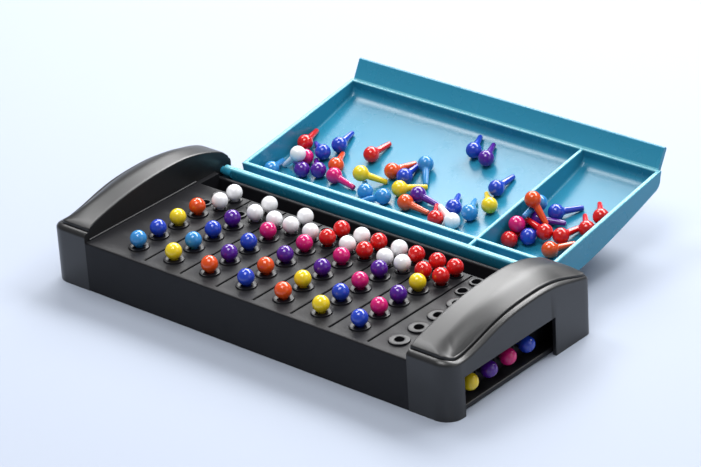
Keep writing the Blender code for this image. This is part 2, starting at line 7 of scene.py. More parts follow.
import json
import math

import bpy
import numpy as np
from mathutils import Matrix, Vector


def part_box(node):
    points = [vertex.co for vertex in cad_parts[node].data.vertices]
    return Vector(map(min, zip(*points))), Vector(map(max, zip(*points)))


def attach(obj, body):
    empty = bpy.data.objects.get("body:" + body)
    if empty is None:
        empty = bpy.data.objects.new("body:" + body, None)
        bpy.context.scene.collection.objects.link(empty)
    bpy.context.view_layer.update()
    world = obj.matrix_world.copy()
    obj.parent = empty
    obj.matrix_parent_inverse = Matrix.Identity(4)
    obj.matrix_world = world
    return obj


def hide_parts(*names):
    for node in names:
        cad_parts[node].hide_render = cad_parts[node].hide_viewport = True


bl_info = {
    "name": "Code Breaking Peg Game",
    "version": (1, 0, 0),
    "blender": (4, 5, 0),
    "location": "3D View > Sidebar > Peg Game",
    "description": "Finishes the case, hinged tray and pegs of a code breaking peg game",
    "category": "Object",
}

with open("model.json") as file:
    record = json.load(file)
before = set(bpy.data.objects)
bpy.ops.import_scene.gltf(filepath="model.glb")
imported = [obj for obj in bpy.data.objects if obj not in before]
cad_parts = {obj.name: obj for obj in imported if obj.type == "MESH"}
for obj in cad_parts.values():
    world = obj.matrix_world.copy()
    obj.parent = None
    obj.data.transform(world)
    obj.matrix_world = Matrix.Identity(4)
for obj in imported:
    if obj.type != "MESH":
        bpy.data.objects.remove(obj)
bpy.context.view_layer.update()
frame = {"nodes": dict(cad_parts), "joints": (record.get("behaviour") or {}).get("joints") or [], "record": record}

MM = 0.001
WELD = 0.0005 * MM       # points nearer than this become one
SHARP_ANGLE = math.radians(35)
COLUMNS = 8
ROWS = 4
DIVIDER_COLUMN = 5       # the tray's divider stands beside this column, counted from 0
PEG_SIDES = 26


def middle(node):
    """Middle of a CAD node's box at rest."""
    low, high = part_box(node)
    return (low + high) / 2


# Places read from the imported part
CASE_LOW, CASE_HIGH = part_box("main_case")
HOOD_LOW, HOOD_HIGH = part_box("right_hood")
HOOD_LEFT_END, HOOD_LEFT_FACE = (corner.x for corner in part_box("left_hood"))
FIRST_HOLE = middle("guess_peg_A1")
COLUMN_PITCH = middle("guess_peg_B1").x - FIRST_HOLE.x
ROW_PITCH = middle("guess_peg_A2").y - FIRST_HOLE.y
KEY_NEAR = middle("key_peg_G_near_left")
KEY_FAR = middle("key_peg_G_far_right")
SECRET_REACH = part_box("secret_peg_1")[1].x
HINGE = next(joint for joint in frame["joints"] if joint["name"] == "tray_hinge")
HINGE_PLACE = Vector(HINGE["pos_m"])
OPEN_TURN = math.radians(HINGE["range_deg"][0])
SLOTS = {part["node"]: part["material_slot"] for part in frame["record"]["subparts"]}


def length(name, default, text):
    """A length property, whose default is given in millimetres."""
    return bpy.props.FloatProperty(
        name=name, description=text, default=default * MM, unit="LENGTH", precision=5
    )


def number(name, default, text):
    """A plain number property."""
    return bpy.props.FloatProperty(name=name, description=text, default=default, precision=4)


def angle(name, default, text):
    """An angle property, whose default is given in degrees."""
    turn = math.radians(default)
    return bpy.props.FloatProperty(name=name, description=text, default=turn, subtype="ANGLE")


def colour(name, default, text):
    """A colour property, as linear red, green and blue."""
    return bpy.props.FloatVectorProperty(
        name=name, description=text, default=default, size=3, subtype="COLOR", min=0.0, max=1.0
    )


class PegGameBoard(bpy.types.PropertyGroup):
    """Sizes of the peg deck and of the case body below it."""

    wall: length("Wall", 1.8, "Thickness of the case's outer walls")
    deck: length("Deck", 2.0, "Thickness of the deck that the pegs stand in")
    ring_height: length("Ring height", 0.6, "Height of the raised rings round the holes")
    code_ring: length("Guess ring", 3.1, "Radius of the ring round a guess hole")
    key_ring: length("Answer ring", 2.2, "Radius of the ring round an answer hole")
    hole: length("Hole", 1.4, "Radius of a peg hole")
    groove_width: length("Groove width", 0.7, "Width of the groove between two columns")
    groove_depth: length("Groove depth", 0.6, "Depth of the groove between two columns")
    well_depth: length("Well depth", 8.0, "Depth of the well behind the deck")
    well_width: length("Well width", 8.0, "Width of the well behind the deck")
    rib: length("Rear rib", 1.5, "Thickness of the rib behind the well")
    rib_drop: length("Rib drop", 1.5, "How far the rib's top lies below the deck")
    apron_level: length("Apron height", 4.1, "Height of the low apron behind the rib")
    rear_margin: length("Rear margin", 3.4, "From the last hole to the deck's rear edge")
    edge: length("Edge rounding", 0.6, "Rounding of the case's long edges")
    skirt: length("Skirt", 0.5, "Radius of the small bead between the deck and a hood")
    soft: length("Fine rounding", 0.15, "Rounding of grooves, rings and holes")
    end_gap: length("End gap", 0.03, "Gap between the board and a hood")
    sill: length("Sill", 1.4, "Thickness of the sill below the secret pegs")
    sill_edge: length("Sill edge", 0.2, "Slanted edge of the sill")


class PegGameHoods(bpy.types.PropertyGroup):
    """Sizes of the two arched end hoods."""

    rise: length("Rise", 9.6, "Height of the arch's crest above the deck")
    drop: length("Drop", 6.3, "How far the arch falls from its crest to both ends")
    power: number("Curve", 2.1, "Power by which the arch falls; two is a parabola")
    crest: length("Crest depth", 40.0, "From the front face to the crest")
    body_drop: length("Ledge drop", 3.0, "How far the lower body's ledge lies below the arch along the side")
    front_drop: length("Front ledge drop", 1.1, "How far the ledge lies below the arch along the front")
    rear_drop: length("Rear ledge drop", 1.5, "How far the ledge lies below the arch along the rear")
    front_ease: length("Front ease", 9.0, "Length over which the ledge's drop changes behind the front")
    rear_ease: length("Rear ease", 12.0, "Length over which the ledge's drop changes before the rear")
    sag: length("Ledge sag", 1.2, "Extra drop of the ledge a little way behind the front")
    sag_place: length("Sag place", 12.0, "From the front face to the deepest sag")
    sag_length: length("Sag length", 10.0, "Length over which the sag fades")
    ledge: length("Ledge", 1.5, "Width of the rounded ledge")
    bead: length("Ledge rounding", 1.1, "Height of the ledge's rounding")
    band_height: length("Band height", 0.7, "Height of the band's side above the ledge")
    band_edge: length("Band edge", 0.4, "Rounding of the upper band's rim")
    crown_width: length("Crown width", 7.0, "Width over which the top curves down to the band's rim")
    setback: length("Band setback", 2.0, "How far the band stands back from the body")
    rear_setback: number("Rear setback", 0.5, "Share of the setback that is left at the rear")
    groove: length("Groove", 0.4, "Depth of the groove between band and ledge")
    front_corner: length("Front corner", 5.4, "Radius of the upright front corner")
    rear_corner: length("Rear corner", 2.3, "Radius of the upright rear corner")
    inner_edge: length("Inner edge", 0.4, "Rounding of the rim over the board")
    shell: length("Shell", 1.2, "Thickness of the moulded shell")
    soft: length("Fine rounding", 0.2, "Rounding of the shell's sharp edges")
    window_post: length("Window post", 6.6, "From the front face to the code window")
    window_length: length("Window length", 40.4, "Length of the code window")
    window_head_drop: length("Window head", 3.7, "How far the window's top lies below the deck")


class PegGameTray(bpy.types.PropertyGroup):
    """Sizes of the peg tray, measured with the tray shut over the board."""

    end_gap: length("End gap", 1.2, "Gap between the tray and a hood")
    edge_gap: length("Edge gap", 0.5, "Gap between the tray's rim and the deck")
    wall: length("Wall", 1.4, "Thickness of the end walls and the near wall")
    skin: length("Skin", 1.2, "Thickness of the arched skin")
    rise: length("Rise", 9.9, "Height of the arch's crest above the deck")
    drop: length("Drop", 3.95, "How far the arch falls from its crest to both ends")
    power: number("Curve", 1.6, "Power by which the arch falls")
    front_reach: length("Front reach", 0.6, "How far the tray reaches before the case")
    front_round: length("Front rounding", 4.0, "Rounding of the arch's front")
    rear_round: length("Rear rounding", 8.0, "Rounding of the arch's rear")
    near_wall_gap: length("Near wall", 3.0, "From the deck's rear edge to the near wall")
    divider: length("Divider", 1.2, "Thickness of the divider")
    divider_gap: length("Divider place", 6.6, "From the sixth column to the divider")
    rail: length("Rail", 2.3, "Thickness of the rail along the hinge")
    rail_rim: length("Rail rounding", 0.9, "Rounding of the rail")
    rear_offset: length("Rear offset", 0.8, "From the hinge's axis to the tray's rear")
    rail_drop: length("Rail drop", 1.8, "How far the rail reaches below the hinge")
    rim: length("Rim rounding", 0.4, "Rounding of the rims")
    fillet: length("Fillet", 0.9, "Rounding inside the rooms")
    end_round: length("End rounding", 1.1, "Rounding where the skin meets an end wall")
    flap_length: length("Flap length", 7.0, "Length of the flap")
    flap: length("Flap", 1.4, "Thickness of the flap")
    flap_inset: length("Flap inset", 1.0, "How far the flap ends before the tray does")
    flap_base: length("Flap base", 0.4, "How far the flap's root stands before the case")
    flap_turn: angle("Flap angle", 52.0, "How steeply the flap hangs")
    tuck: length("Flap tuck", 0.05, "How far the flap's root reaches up into the skin")
    shoulder: length("Shoulder", 1.9, "Height of the shoulder over the flap")
    pin: length("Pin", 1.2, "Radius of the hinge pins")
    boss: length("Boss", 1.55, "Radius of the bosses that carry the pins")
    boss_length: length("Boss length", 3.0, "Length of a boss")
    pin_reach: length("Pin reach", 1.5, "How far a pin reaches into its hood")
    # The rim fade is the step in which the rims' paler colour, partly a painted highlight, fades into the tray's
    # own colour
    fade: length("Rim fade", 0.05, "Step in which a pale rim fades into the tray's own colour")


class PegGamePegs(bpy.types.PropertyGroup):
    """Sizes and colours of the pegs."""

    head: length("Head", 2.5, "Radius of the ball head")
    lift: length("Lift", 0.4, "Gap between the head and the deck")
    stem: length("Stem", 6.0, "Length of the stem")
    root: length("Stem root", 1.1, "Radius of the stem below the head")
    tip: length("Stem tip", 0.8, "Radius of the stem's end")
    collar: length("Collar", 0.35, "Height over which the head narrows to the stem")
    taper: length("Taper", 0.8, "From the head to where the stem's taper starts")
    yellow: colour("Yellow", (0.74, 0.54, 0.012), "Yellow pegs")
    orange: colour("Orange", (0.64, 0.065, 0.006), "Orange pegs")
    red: colour("Red", (0.56, 0.008, 0.007), "Red pegs")
    pink: colour("Pink", (0.56, 0.007, 0.14), "Pink pegs")
    purple: colour("Purple", (0.070, 0.008, 0.24), "Purple pegs")
    blue: colour("Blue", (0.012, 0.045, 0.42), "Blue pegs")
    light_blue: colour("Light blue", (0.03, 0.21, 0.50), "Light blue pegs")
    white: colour("White", (0.78, 0.78, 0.80), "White pegs")


class PegGameLook(bpy.types.PropertyGroup):
    """Colours of the case, the tray and the stage, and the camera's place."""

    case: colour("Case", (0.0045, 0.0045, 0.0065), "Near-black plastic of the case")
    hood: colour("Hoods", (0.006, 0.006, 0.0068), "Dark plastic of the end hoods")
    tray: colour("Tray", (0.016, 0.205, 0.330), "Teal plastic of the tray")
    # Paler colour of the tray's thin rims: partly the thin plastic, partly a painted highlight where the rims
    # catch the light
    rim_highlight_shade: colour("Tray rims", (0.12, 0.40, 0.49), "Paler plastic along the tray's thin rims")
    floor: colour("Floor", (0.33, 0.37, 0.45), "Pale floor")
    turn: angle("Camera turn", 41.9, "Camera's turn about the game from straight ahead")
    height: angle("Camera height", 27.1, "Camera's angle above the floor")
    roll: angle("Camera roll", -3.56, "Tilt of the camera about its own line of sight")
    distance: length("Camera distance", 927.3, "From the camera to the middle of the game")
    lens: number("Lens", 163.0, "Focal length in millimetres on a 36 mm wide sensor")
    aim: bpy.props.FloatVectorProperty(
        name="Aim", description="Point that the camera looks at", default=(-0.003, 0.020, 0.0135),
        subtype="TRANSLATION", unit="LENGTH",
    )


def sizes(group):
    """The scene's settings of one group: board, hoods, tray, pegs or look."""
    return getattr(bpy.context.scene, "peg_game_" + group)


def deck_level():
    """Z of the deck: the case's top less the rings."""
    return CASE_HIGH.z - sizes("board").ring_height


def row_y(row):
    """Y of a row of guess holes."""
    return FIRST_HOLE.y + row * ROW_PITCH


def column_x(column):
    """X of a column of guess holes."""
    return FIRST_HOLE.x + column * COLUMN_PITCH


# Surfaces as whole arrays of points


def arc(centre, radius, start, end, steps):
    """Points on an arc: centre plus radius times the cosine and sine of evenly spaced angles."""
    turn = np.linspace(start, end, steps)
    return np.stack([centre[0] + radius * np.cos(turn), centre[1] + radius * np.sin(turn)], axis=1)


def grid(points, wrap_rows=False, wrap_columns=False, caps=()):
    """A shape from rows and columns of points: each four neighbours make a face."""
    rows, columns = points.shape[:2]
    row = np.arange(rows if wrap_rows else rows - 1)
    column = np.arange(columns if wrap_columns else columns - 1)
    row, column = np.meshgrid(row, column, indexing="ij")
    next_row, next_column = (row + 1) % rows, (column + 1) % columns
    corners = [row * columns + column, next_row * columns + column,
               next_row * columns + next_column, row * columns + next_column]
    quads = np.stack(corners, axis=-1).reshape(-1, 4)
    return points.reshape(-1, 3), quads, [np.asarray(cap) for cap in caps]


def welded(shape):
    """Merges points that coincide, and drops the corners of faces that fall together."""
    points, quads, caps = shape
    cells = np.round(points / WELD).astype(np.int64)
    _, first, index = np.unique(cells, axis=0, return_index=True, return_inverse=True)
    index = index.reshape(-1)
    quads = index[quads]
    same = quads == np.roll(quads, -1, axis=1)
    twins = same.sum(axis=1)
    thin = quads[twins == 1]
    start = np.argmax(same[twins == 1], axis=1)[:, None]
    triangles = np.take_along_axis(thin, (start + 1 + np.arange(3)) % 4, axis=1)
    whole = quads[(twins == 0) & (quads[:, 0] != quads[:, 2]) & (quads[:, 1] != quads[:, 3])]
    caps = [index[cap] for cap in caps]
    caps = [cap[cap != np.roll(cap, 1)] for cap in caps]
    return points[first], whole, list(triangles) + caps


def outward(shape):
    """Turns all faces round if the volume they enclose, the sum of v0 . v1 x v2 / 6, is negative."""
    points, quads, others = shape
    corner = points[quads]
    fans = [(corner[:, 0], corner[:, 1], corner[:, 2]), (corner[:, 0], corner[:, 2], corner[:, 3])]
    for face in others:
        ring = points[face]
        fans.append((np.broadcast_to(ring[0], ring[2:].shape), ring[1:-1], ring[2:]))
    volume = sum(np.einsum("ij,ij->", a, np.cross(b, c)) for a, b, c in fans)
    if volume < 0:
        return points, quads[:, ::-1], [face[::-1] for face in others]
    return points, quads, others


def joined(shapes):
    """Several closed shapes as one, each welded and facing outwards."""
    all_points, all_faces, first = [], [], 0
    for shape in shapes:
        points, quads, others = outward(welded(shape))
        all_points.append(points)
        all_faces += (quads + first).tolist()
        all_faces += [(np.asarray(face) + first).tolist() for face in others]
        first += len(points)
    return np.concatenate(all_points), all_faces


def swept(outline, places, axis=0):
    """A closed outline carried along an axis through the given places, with flat ends."""
    outline = np.asarray(outline, float)
    across = [i for i in range(3) if i != axis]
    points = np.empty((len(places), len(outline), 3))
    points[..., axis] = np.asarray(places)[:, None]
    points[..., across] = outline
    start = np.arange(len(outline))
    end = (len(places) - 1) * len(outline) + start[::-1]
    return grid(points, wrap_columns=True, caps=(start, end))


def turned(profile, sides, start, axis):
    """A profile turned about an axis: start + height * axis + radius * (cos, sin) across it."""
    profile = np.asarray(profile, float)
    turn = np.arange(sides) * 2 * math.pi / sides
    basis = np.array(axis.to_track_quat("Z", "Y").to_matrix())
    circle = np.cos(turn)[:, None] * basis[:, 0] + np.sin(turn)[:, None] * basis[:, 1]
    points = (np.array(start) + profile[:, None, 1:] * basis[:, 2]) + profile[:, None, :1] * circle
    return grid(points, wrap_columns=True)


def placed(name, data):
    """A new object of the given data, linked to the scene."""
    item = bpy.data.objects.new(name, data)
    bpy.context.scene.collection.objects.link(item)
    return item


def crease_flat_faces(mesh):
    """Marks the edges of faces with more than four corners as sharp, so that these look flat."""
    corners = np.empty(len(mesh.polygons), int)
    mesh.polygons.foreach_get("loop_total", corners)
    edges = np.empty(len(mesh.loops), int)
    mesh.loops.foreach_get("edge_index", edges)
    sharp = np.empty(len(mesh.edges), bool)
    mesh.edges.foreach_get("use_edge_sharp", sharp)
    sharp[edges[np.repeat(corners > 4, corners)]] = True
    mesh.edges.foreach_set("use_edge_sharp", sharp)


def add_piece(name, shapes, finish, body, replaced=(), eased_edges=0.0):
    """Makes a piece of closed shapes, with creases where faces meet at more than the sharp angle.

    Eased edges are a small bevel on the piece's sharpest edges, put into its mesh at once.
    """
    points, faces = joined(shapes)
    mesh = bpy.data.meshes.new(name)
    mesh.from_pydata(points, [], faces)
    mesh.materials.append(finish)
    piece = placed(name, mesh)
    if eased_edges:
        eased = piece.modifiers.new("eased edges", "BEVEL")
        eased.width = eased_edges
        eased.segments = 2
        eased.limit_method = "ANGLE"
        eased.angle_limit = math.radians(60)
        bpy.context.view_layer.update()
        evaluated = piece.evaluated_get(bpy.context.evaluated_depsgraph_get())
        piece.data = bpy.data.meshes.new_from_object(evaluated)
        piece.modifiers.clear()
    piece.data.shade_smooth()
    piece.data.set_sharp_from_angle(angle=SHARP_ANGLE)
    crease_flat_faces(piece.data)
    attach(piece, body)
    if replaced:
        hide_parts(*replaced)
    return piece


# Finishes: roughness, depth of grain, wear, tint by which the tone drifts, coat and shine
FINISHES = {
    "case_satin": (0.50, 0.40, 0.04, 0.12, 0.0, 0.24),
    "cover_satin": (0.50, 0.80, 0.05, 0.12, 0.0, 0.50),
    "hood_satin": (0.36, 0.20, 0.02, 0.20, 0.0, 0.62),
    "panel_satin": (0.45, 0.50, 0.05, 0.12, 0.0, 0.50),
    "tray_gloss": (0.27, 0.12, 0.06, 0.08, 0.0, 0.50),
    "peg_gloss": (0.16, 0.12, 0.10, 0.08, 0.3, 0.50),
}
# Lumps to the metre in the noises of tone, grain and handling marks
TONE_LUMPS, GRAIN_LUMPS, MARK_LUMPS = 38.0, 5200.0, 260.0


class Wire:
    """An output in a shader's node tree, on which arithmetic adds Math nodes."""

    def __init__(self, tree, socket=None):
        self.tree = tree
        self.socket = socket

    def node(self, kind, settings=None, values=None, output=0):
        """Adds a node: its settings are set first, then its sockets get values or links."""
        made = self.tree.nodes.new(kind)
        for name, value in (settings or {}).items():
            if name == "stops":
                for stop, (place, shade) in zip(made.color_ramp.elements, value):
                    stop.position, stop.color = place, (shade, shade, shade, 1.0)
            else:
                setattr(made, name, value)
        for name, value in (values or {}).items():
            if isinstance(value, Wire):
                self.tree.links.new(value.socket, made.inputs[name])
            else:
                made.inputs[name].default_value = value
        return Wire(self.tree, made.outputs[output])

    def maths(self, operation, a, b):
        """A Math node on two wires or numbers."""
        return self.node("ShaderNodeMath", {"operation": operation}, {0: a, 1: b})

    def __add__(self, other):
        return self.maths("ADD", self, other)

    def __mul__(self, other):
        return self.maths("MULTIPLY", self, other)

    def __sub__(self, other):
        return self.maths("SUBTRACT", self, other)

    def __rsub__(self, other):
        return self.maths("SUBTRACT", other, self)

    __radd__ = __add__
    __rmul__ = __mul__

    def step(self, start, width):
        """0 below the start, 1 beyond start + width, and a straight ramp between."""
        settings = {"operation": "DIVIDE", "use_clamp": True}
        return self.node("ShaderNodeMath", settings, {0: self - start, 1: width})

    def mixed(self, first, second):
        """The first colour where this is 0 and the second where it is 1."""
        low, high = [shade if isinstance(shade, Wire) else (*shade, 1.0) for shade in (first, second)]
        return self.node("ShaderNodeMix", {"data_type": "RGBA"}, {0: self, 6: low, 7: high}, output=2)

    def along(self, direction):
        """How far this place lies along a direction, their dot product."""
        settings = {"operation": "DOT_PRODUCT"}
        return self.node("ShaderNodeVectorMath", settings, {0: self, 1: direction}, output=1)


def new_finish(name):
    """An empty material with its shader node, and a wire that adds nodes to it."""
    material = bpy.data.materials.new(name)
    material.use_nodes = True
    shader = material.node_tree.nodes["Principled BSDF"]
    return material, shader, Wire(material.node_tree)


def noise(wire, place, scale, detail=3.0):
    """Noise from 0 to 1 on object coordinates, with so many lumps to the metre."""
    values = {"Vector": place, "Scale": scale, "Detail": detail}
    return wire.node("ShaderNodeTexNoise", {"noise_dimensions": "3D"}, values)


def moulded(shade, kind, name=None, accent=None):
    """Moulded plastic: fine grain, slow drifts of tone and gloss, and faint handling marks.

    An accent is a function that gives a mask at a place, and the colour and roughness it stands for.
    """
    roughness, grain, wear, tint, coat, shine = FINISHES[kind]
    material, shader, wire = new_finish(name or kind)
    place = wire.node("ShaderNodeTexCoord", output="Object")
    drift = noise(wire, place, TONE_LUMPS)
    fine = noise(wire, place, GRAIN_LUMPS, 2.0)
    marks = noise(wire, place, MARK_LUMPS, 7.0)
    rubbed = marks.node("ShaderNodeValToRGB", {"stops": ((0.56, 0.0), (0.72, 1.0))}, {0: marks})
    lighter = [min(1.0, c * (1.0 + tint) + tint * 0.02) for c in shade]
    darker = [c * (1.0 - tint) for c in shade]
    tone = drift.mixed(darker, lighter)
    gloss = roughness + (drift - 0.5) * 0.10 + rubbed * wear
    if accent:
        mask_at, accent_shade, accent_roughness = accent
        mask = mask_at(place)
        tone = mask.mixed(tone, accent_shade)
        gloss = gloss + mask * (accent_roughness - gloss)
    wire.tree.links.new(tone.socket, shader.inputs["Base Color"])
    wire.tree.links.new(gloss.socket, shader.inputs["Roughness"])
    height = fine * grain + drift * (grain * 0.6)
    bump = wire.node("ShaderNodeBump", values={"Height": height, "Distance": 0.1 * MM, "Strength": 0.35})
    wire.tree.links.new(bump.socket, shader.inputs["Normal"])
    shader.inputs["Coat Weight"].default_value = coat
    shader.inputs["IOR"].default_value = 1.5
    shader.inputs["Specular IOR Level"].default_value = shine
    return material


def ring_tops(place):
    """Mask of the smoother ring tops, the parts that lie above the deck."""
    height = sizes("board").ring_height
    return place.along((0.0, 0.0, 1.0)).step(deck_level() + height / 4, height / 6)


def rim_highlight_mask(place):
    """Mask of the open tray's rims, whose paler colour is partly the thin plastic and partly a painted highlight,
    measured along the shut tray's Y and Z turned open with it.
    """
    tray = sizes("tray")
    fade = tray.fade
    front, rear, _, _, edge, _ = tray_frame(tray)
    turn = Matrix.Rotation(OPEN_TURN, 3, "X")
    away, up = turn @ Vector((0, 1, 0)), turn @ Vector((0, 0, 1))
    y = place.along(away) - (HINGE_PLACE.dot(away) - HINGE_PLACE.y)
    z = place.along(up) - (HINGE_PLACE.dot(up) - HINGE_PLACE.z)
    rail = y.step(rear - tray.rail - fade, fade)
    foot = HINGE_PLACE.z - tray.rail_drop
    walls = (1.0 - z.step(edge + 3 * fade, 5 * fade)) * y.step(front - 2 * fade, 2 * fade) * (1.0 - rail)
    return walls + rail * (1.0 - z.step(foot + 3 * fade, 7 * fade))


# The board


def plate_cells(cells, ring, level, board, eased):
    """Closed tiles of deck from cells: X and Y of a hole, then the rectangle's x0, x1, y0 and y1.

    A tile is a loop of rows that runs in from its rectangle, up and over the ring, down the hole and back
    out below. Rectangle points lie where a ray from the hole meets its sides: the nearer of the side
    distances over the ray's cosine and sine. Ring points are radius times cosine and sine. Eased is the
    share of the fine rounding that the rectangle's left and right edges get.
    """
    per_side = 9
    x, y, x0, x1, y0, y1 = np.array(cells).T[:, :, None]
    around = ((x1, y0), (x1, y1), (x0, y1), (x0, y0))
    bends = np.unwrap(np.concatenate([np.arctan2(b - y, a - x) for a, b in around], axis=1), axis=1)
    ends = np.concatenate([bends[:, 1:], bends[:, :1] + 2 * math.pi], axis=1)
    share = np.arange(per_side) / per_side
    turn = (bends[:, :, None] + (ends - bends)[:, :, None] * share).reshape(len(cells), -1)
    cos, sin = np.cos(turn), np.sin(turn)
    reach_x = np.where(cos > 0, x1 - x, x - x0) / np.maximum(np.abs(cos), 1e-9)
    reach_y = np.where(sin > 0, y1 - y, y - y0) / np.maximum(np.abs(sin), 1e-9)
    reach = np.minimum(reach_x, reach_y)
    soft, height, hole = board.soft, board.ring_height, board.hole
    side_x, side_y = x + reach * cos, y + reach * sin
    eased_x = np.clip(side_x, x0 + soft * eased, x1 - soft * eased)
    rows = []

    def add_row(row_x, row_y, lift):
        rows.append(np.stack([row_x, row_y, np.full_like(turn, level + lift)], axis=-1))

    add_row(eased_x, side_y, 0.0)
    for radius, lift in (
        (ring + 1.6 * soft, 0.0), (ring + 0.5 * soft, 0.4 * soft), (ring, 1.5 * soft), (ring, height - soft),
        (ring - 0.3 * soft, height - 0.3 * soft), (ring - soft, height), (hole + soft, height),
        (hole + 0.3 * soft, height - 0.3 * soft), (hole, height - soft), (hole, -board.deck),
    ):
        add_row(x + radius * cos, y + radius * sin, lift)
    add_row(side_x, side_y, -board.deck)
    add_row(side_x, side_y, -soft * eased)
    tiles = np.stack(rows, axis=1)
    return [grid(tile, wrap_rows=True, wrap_columns=True) for tile in tiles]


def deck_tiles(board):
    """The deck's tiles: a guess hole to a row, and four answer holes behind them, column after column."""
    level = deck_level()
    half, gap = COLUMN_PITCH / 2, board.groove_width / 2
    ends = board_ends(board)
    front, rear = CASE_LOW.y + board.wall, deck_rear(board) - board.edge
    rise = ROW_PITCH * (ROWS - 1)
    to_key = KEY_NEAR.y - FIRST_HOLE.y - rise
    guess_end = FIRST_HOLE.y + rise + (to_key + board.code_ring - board.key_ring) / 2
    key_split = (KEY_NEAR.y + KEY_FAR.y) / 2
    edges = [front] + [row_y(r) + ROW_PITCH / 2 for r in range(ROWS - 1)] + [guess_end]
    spread = (KEY_FAR.x - KEY_NEAR.x) / 2
    guesses, keys = [], []
    for column in range(COLUMNS):
        x = column_x(column)
        left = ends[0] if column == 0 else x - half + gap
        right = ends[1] if column == COLUMNS - 1 else x + half - gap
        for row in range(ROWS):
            guesses.append((x, row_y(row), left, right, edges[row], edges[row + 1]))
        for key_x, low, high in ((x - spread, left, x), (x + spread, x, right)):
            keys.append((key_x, KEY_NEAR.y, low, high, guess_end, key_split))
            keys.append((key_x, KEY_FAR.y, low, high, key_split, rear))
    return [
        *plate_cells(guesses, board.code_ring, level, board, 1.0),
        *plate_cells(keys, board.key_ring, level, board, 0.0),
    ]


def deck_rear(board):
    """Y of the deck's rear edge."""
    return KEY_FAR.y + board.rear_margin


def board_ends(board):
    """X of the board's two ends, a hair's breadth from the hoods."""
    return HOOD_LEFT_FACE + board.end_gap, HOOD_LOW.x - board.end_gap


def hood_skirt(board, side):
    """Outline in X and Z of the small quarter-round bead between the deck and a hood."""
    wall = board_ends(board)[0 if side < 0 else 1]
    level, radius = deck_level(), board.skirt
    bead = arc((0.0, 0.0), radius, 0.0, math.pi / 2, 6)
    bead = np.column_stack([wall - side * bead[:, 0], level + bead[:, 1]])
    return np.concatenate([bead, [(wall, level - board.deck), (wall - side * radius, level - board.deck)]])


def front_wall(board):
    """Outline in Y and Z of the front wall, with its top edge rounded."""
    front, level, edge = CASE_LOW.y, deck_level(), board.edge
    inside = front + board.wall
    rounding = arc((front + edge, level - edge), edge, math.pi / 2, math.pi, 7)
    foot = arc((front + edge / 2, edge / 2), edge / 2, math.pi, 1.5 * math.pi, 4)
    return np.concatenate([[(inside, level)], rounding, foot, [(inside, 0.0)]])


def rear_wall(board):
    """Outline in Y and Z behind the deck: well, rear rib and apron, all of one wall's thickness or more."""
    level, edge, wall, half_pi = deck_level(), board.edge, board.wall, math.pi / 2
    rear, end, floor = deck_rear(board), CASE_HIGH.y, deck_level() - board.well_depth
    rib_front = rear + board.well_width
    rib_rear, rib_top = rib_front + board.rib, level - board.rib_drop
    return np.concatenate([
        arc((rear - edge, level - edge), edge, half_pi, 0.0, 6),
        arc((rear + edge, floor + edge), edge, math.pi, 3 * half_pi, 5),
        arc((rib_front - edge, floor + edge), edge, -half_pi, 0.0, 5),
        arc((rib_front + edge, rib_top - edge), edge, math.pi, half_pi, 5),
        arc((rib_rear - edge, rib_top - edge), edge, half_pi, 0.0, 5),
        arc((rib_rear + edge, board.apron_level + edge), edge, math.pi, 3 * half_pi, 5),
        arc((end - edge, board.apron_level - edge), edge, half_pi, 0.0, 5),
        [(end, 0.0), (end - wall, 0.0), (end - wall, board.apron_level - wall),
         (rib_rear - wall, board.apron_level - wall), (rib_rear - wall, floor - wall),
         (rear - wall, floor - wall), (rear - wall, level - board.deck), (rear - edge, level - board.deck)],
    ])


def board_shapes(board):
    """Deck tiles, groove floors, front wall, rear wall and the well's two ends."""
    level = deck_level()
    left, right = board_ends(board)
    along = np.linspace(left, right, 9)
    shapes = deck_tiles(board) + [swept(front_wall(board), along), swept(rear_wall(board), along)]
    floor, below, gap = level - board.groove_depth, level - board.deck, board.groove_width / 2
    span = (CASE_LOW.y + board.wall, deck_rear(board) - board.edge)
    for column in range(COLUMNS - 1):
        x = column_x(column) + COLUMN_PITCH / 2
        groove = [(x - gap, floor), (x + gap, floor), (x + gap, below), (x - gap, below)]
        shapes.append(swept(groove, span, axis=1))
    rear, well = deck_rear(board), level - board.well_depth
    rib_front = rear + board.well_width
    end = [(rear - board.edge, well - board.edge), (rib_front + board.edge, well - board.edge),
           (rib_front + board.edge, level - board.rib_drop), (rib_front, level - board.rib_drop),
           (rib_front, level - board.soft), (rib_front - board.soft, level), (rear - board.edge, level)]
    for x in ((left, left + board.wall), (right - board.wall, right)):
        shapes.append(swept(end, x))
    for side in (-1, 1):
        shapes.append(swept(hood_skirt(board, side), span, axis=1))
    return shapes


# The end hoods, with the groove beside the ledge as shares of the way to the band and of its depth
GROOVE_PROFILE = ((0.25, 0.1), (0.5, 0.8), (0.75, 1.0), (1.0, 1.0))


def arch(y, rise, drop, power, crest, front, rear):
    """Height of an arch: deck + rise - drop * |distance from the crest / distance of that end| ** power."""
    reach = np.where(y < crest, crest - front, rear - crest)
    return deck_level() + rise - drop * np.abs((y - crest) / reach) ** power


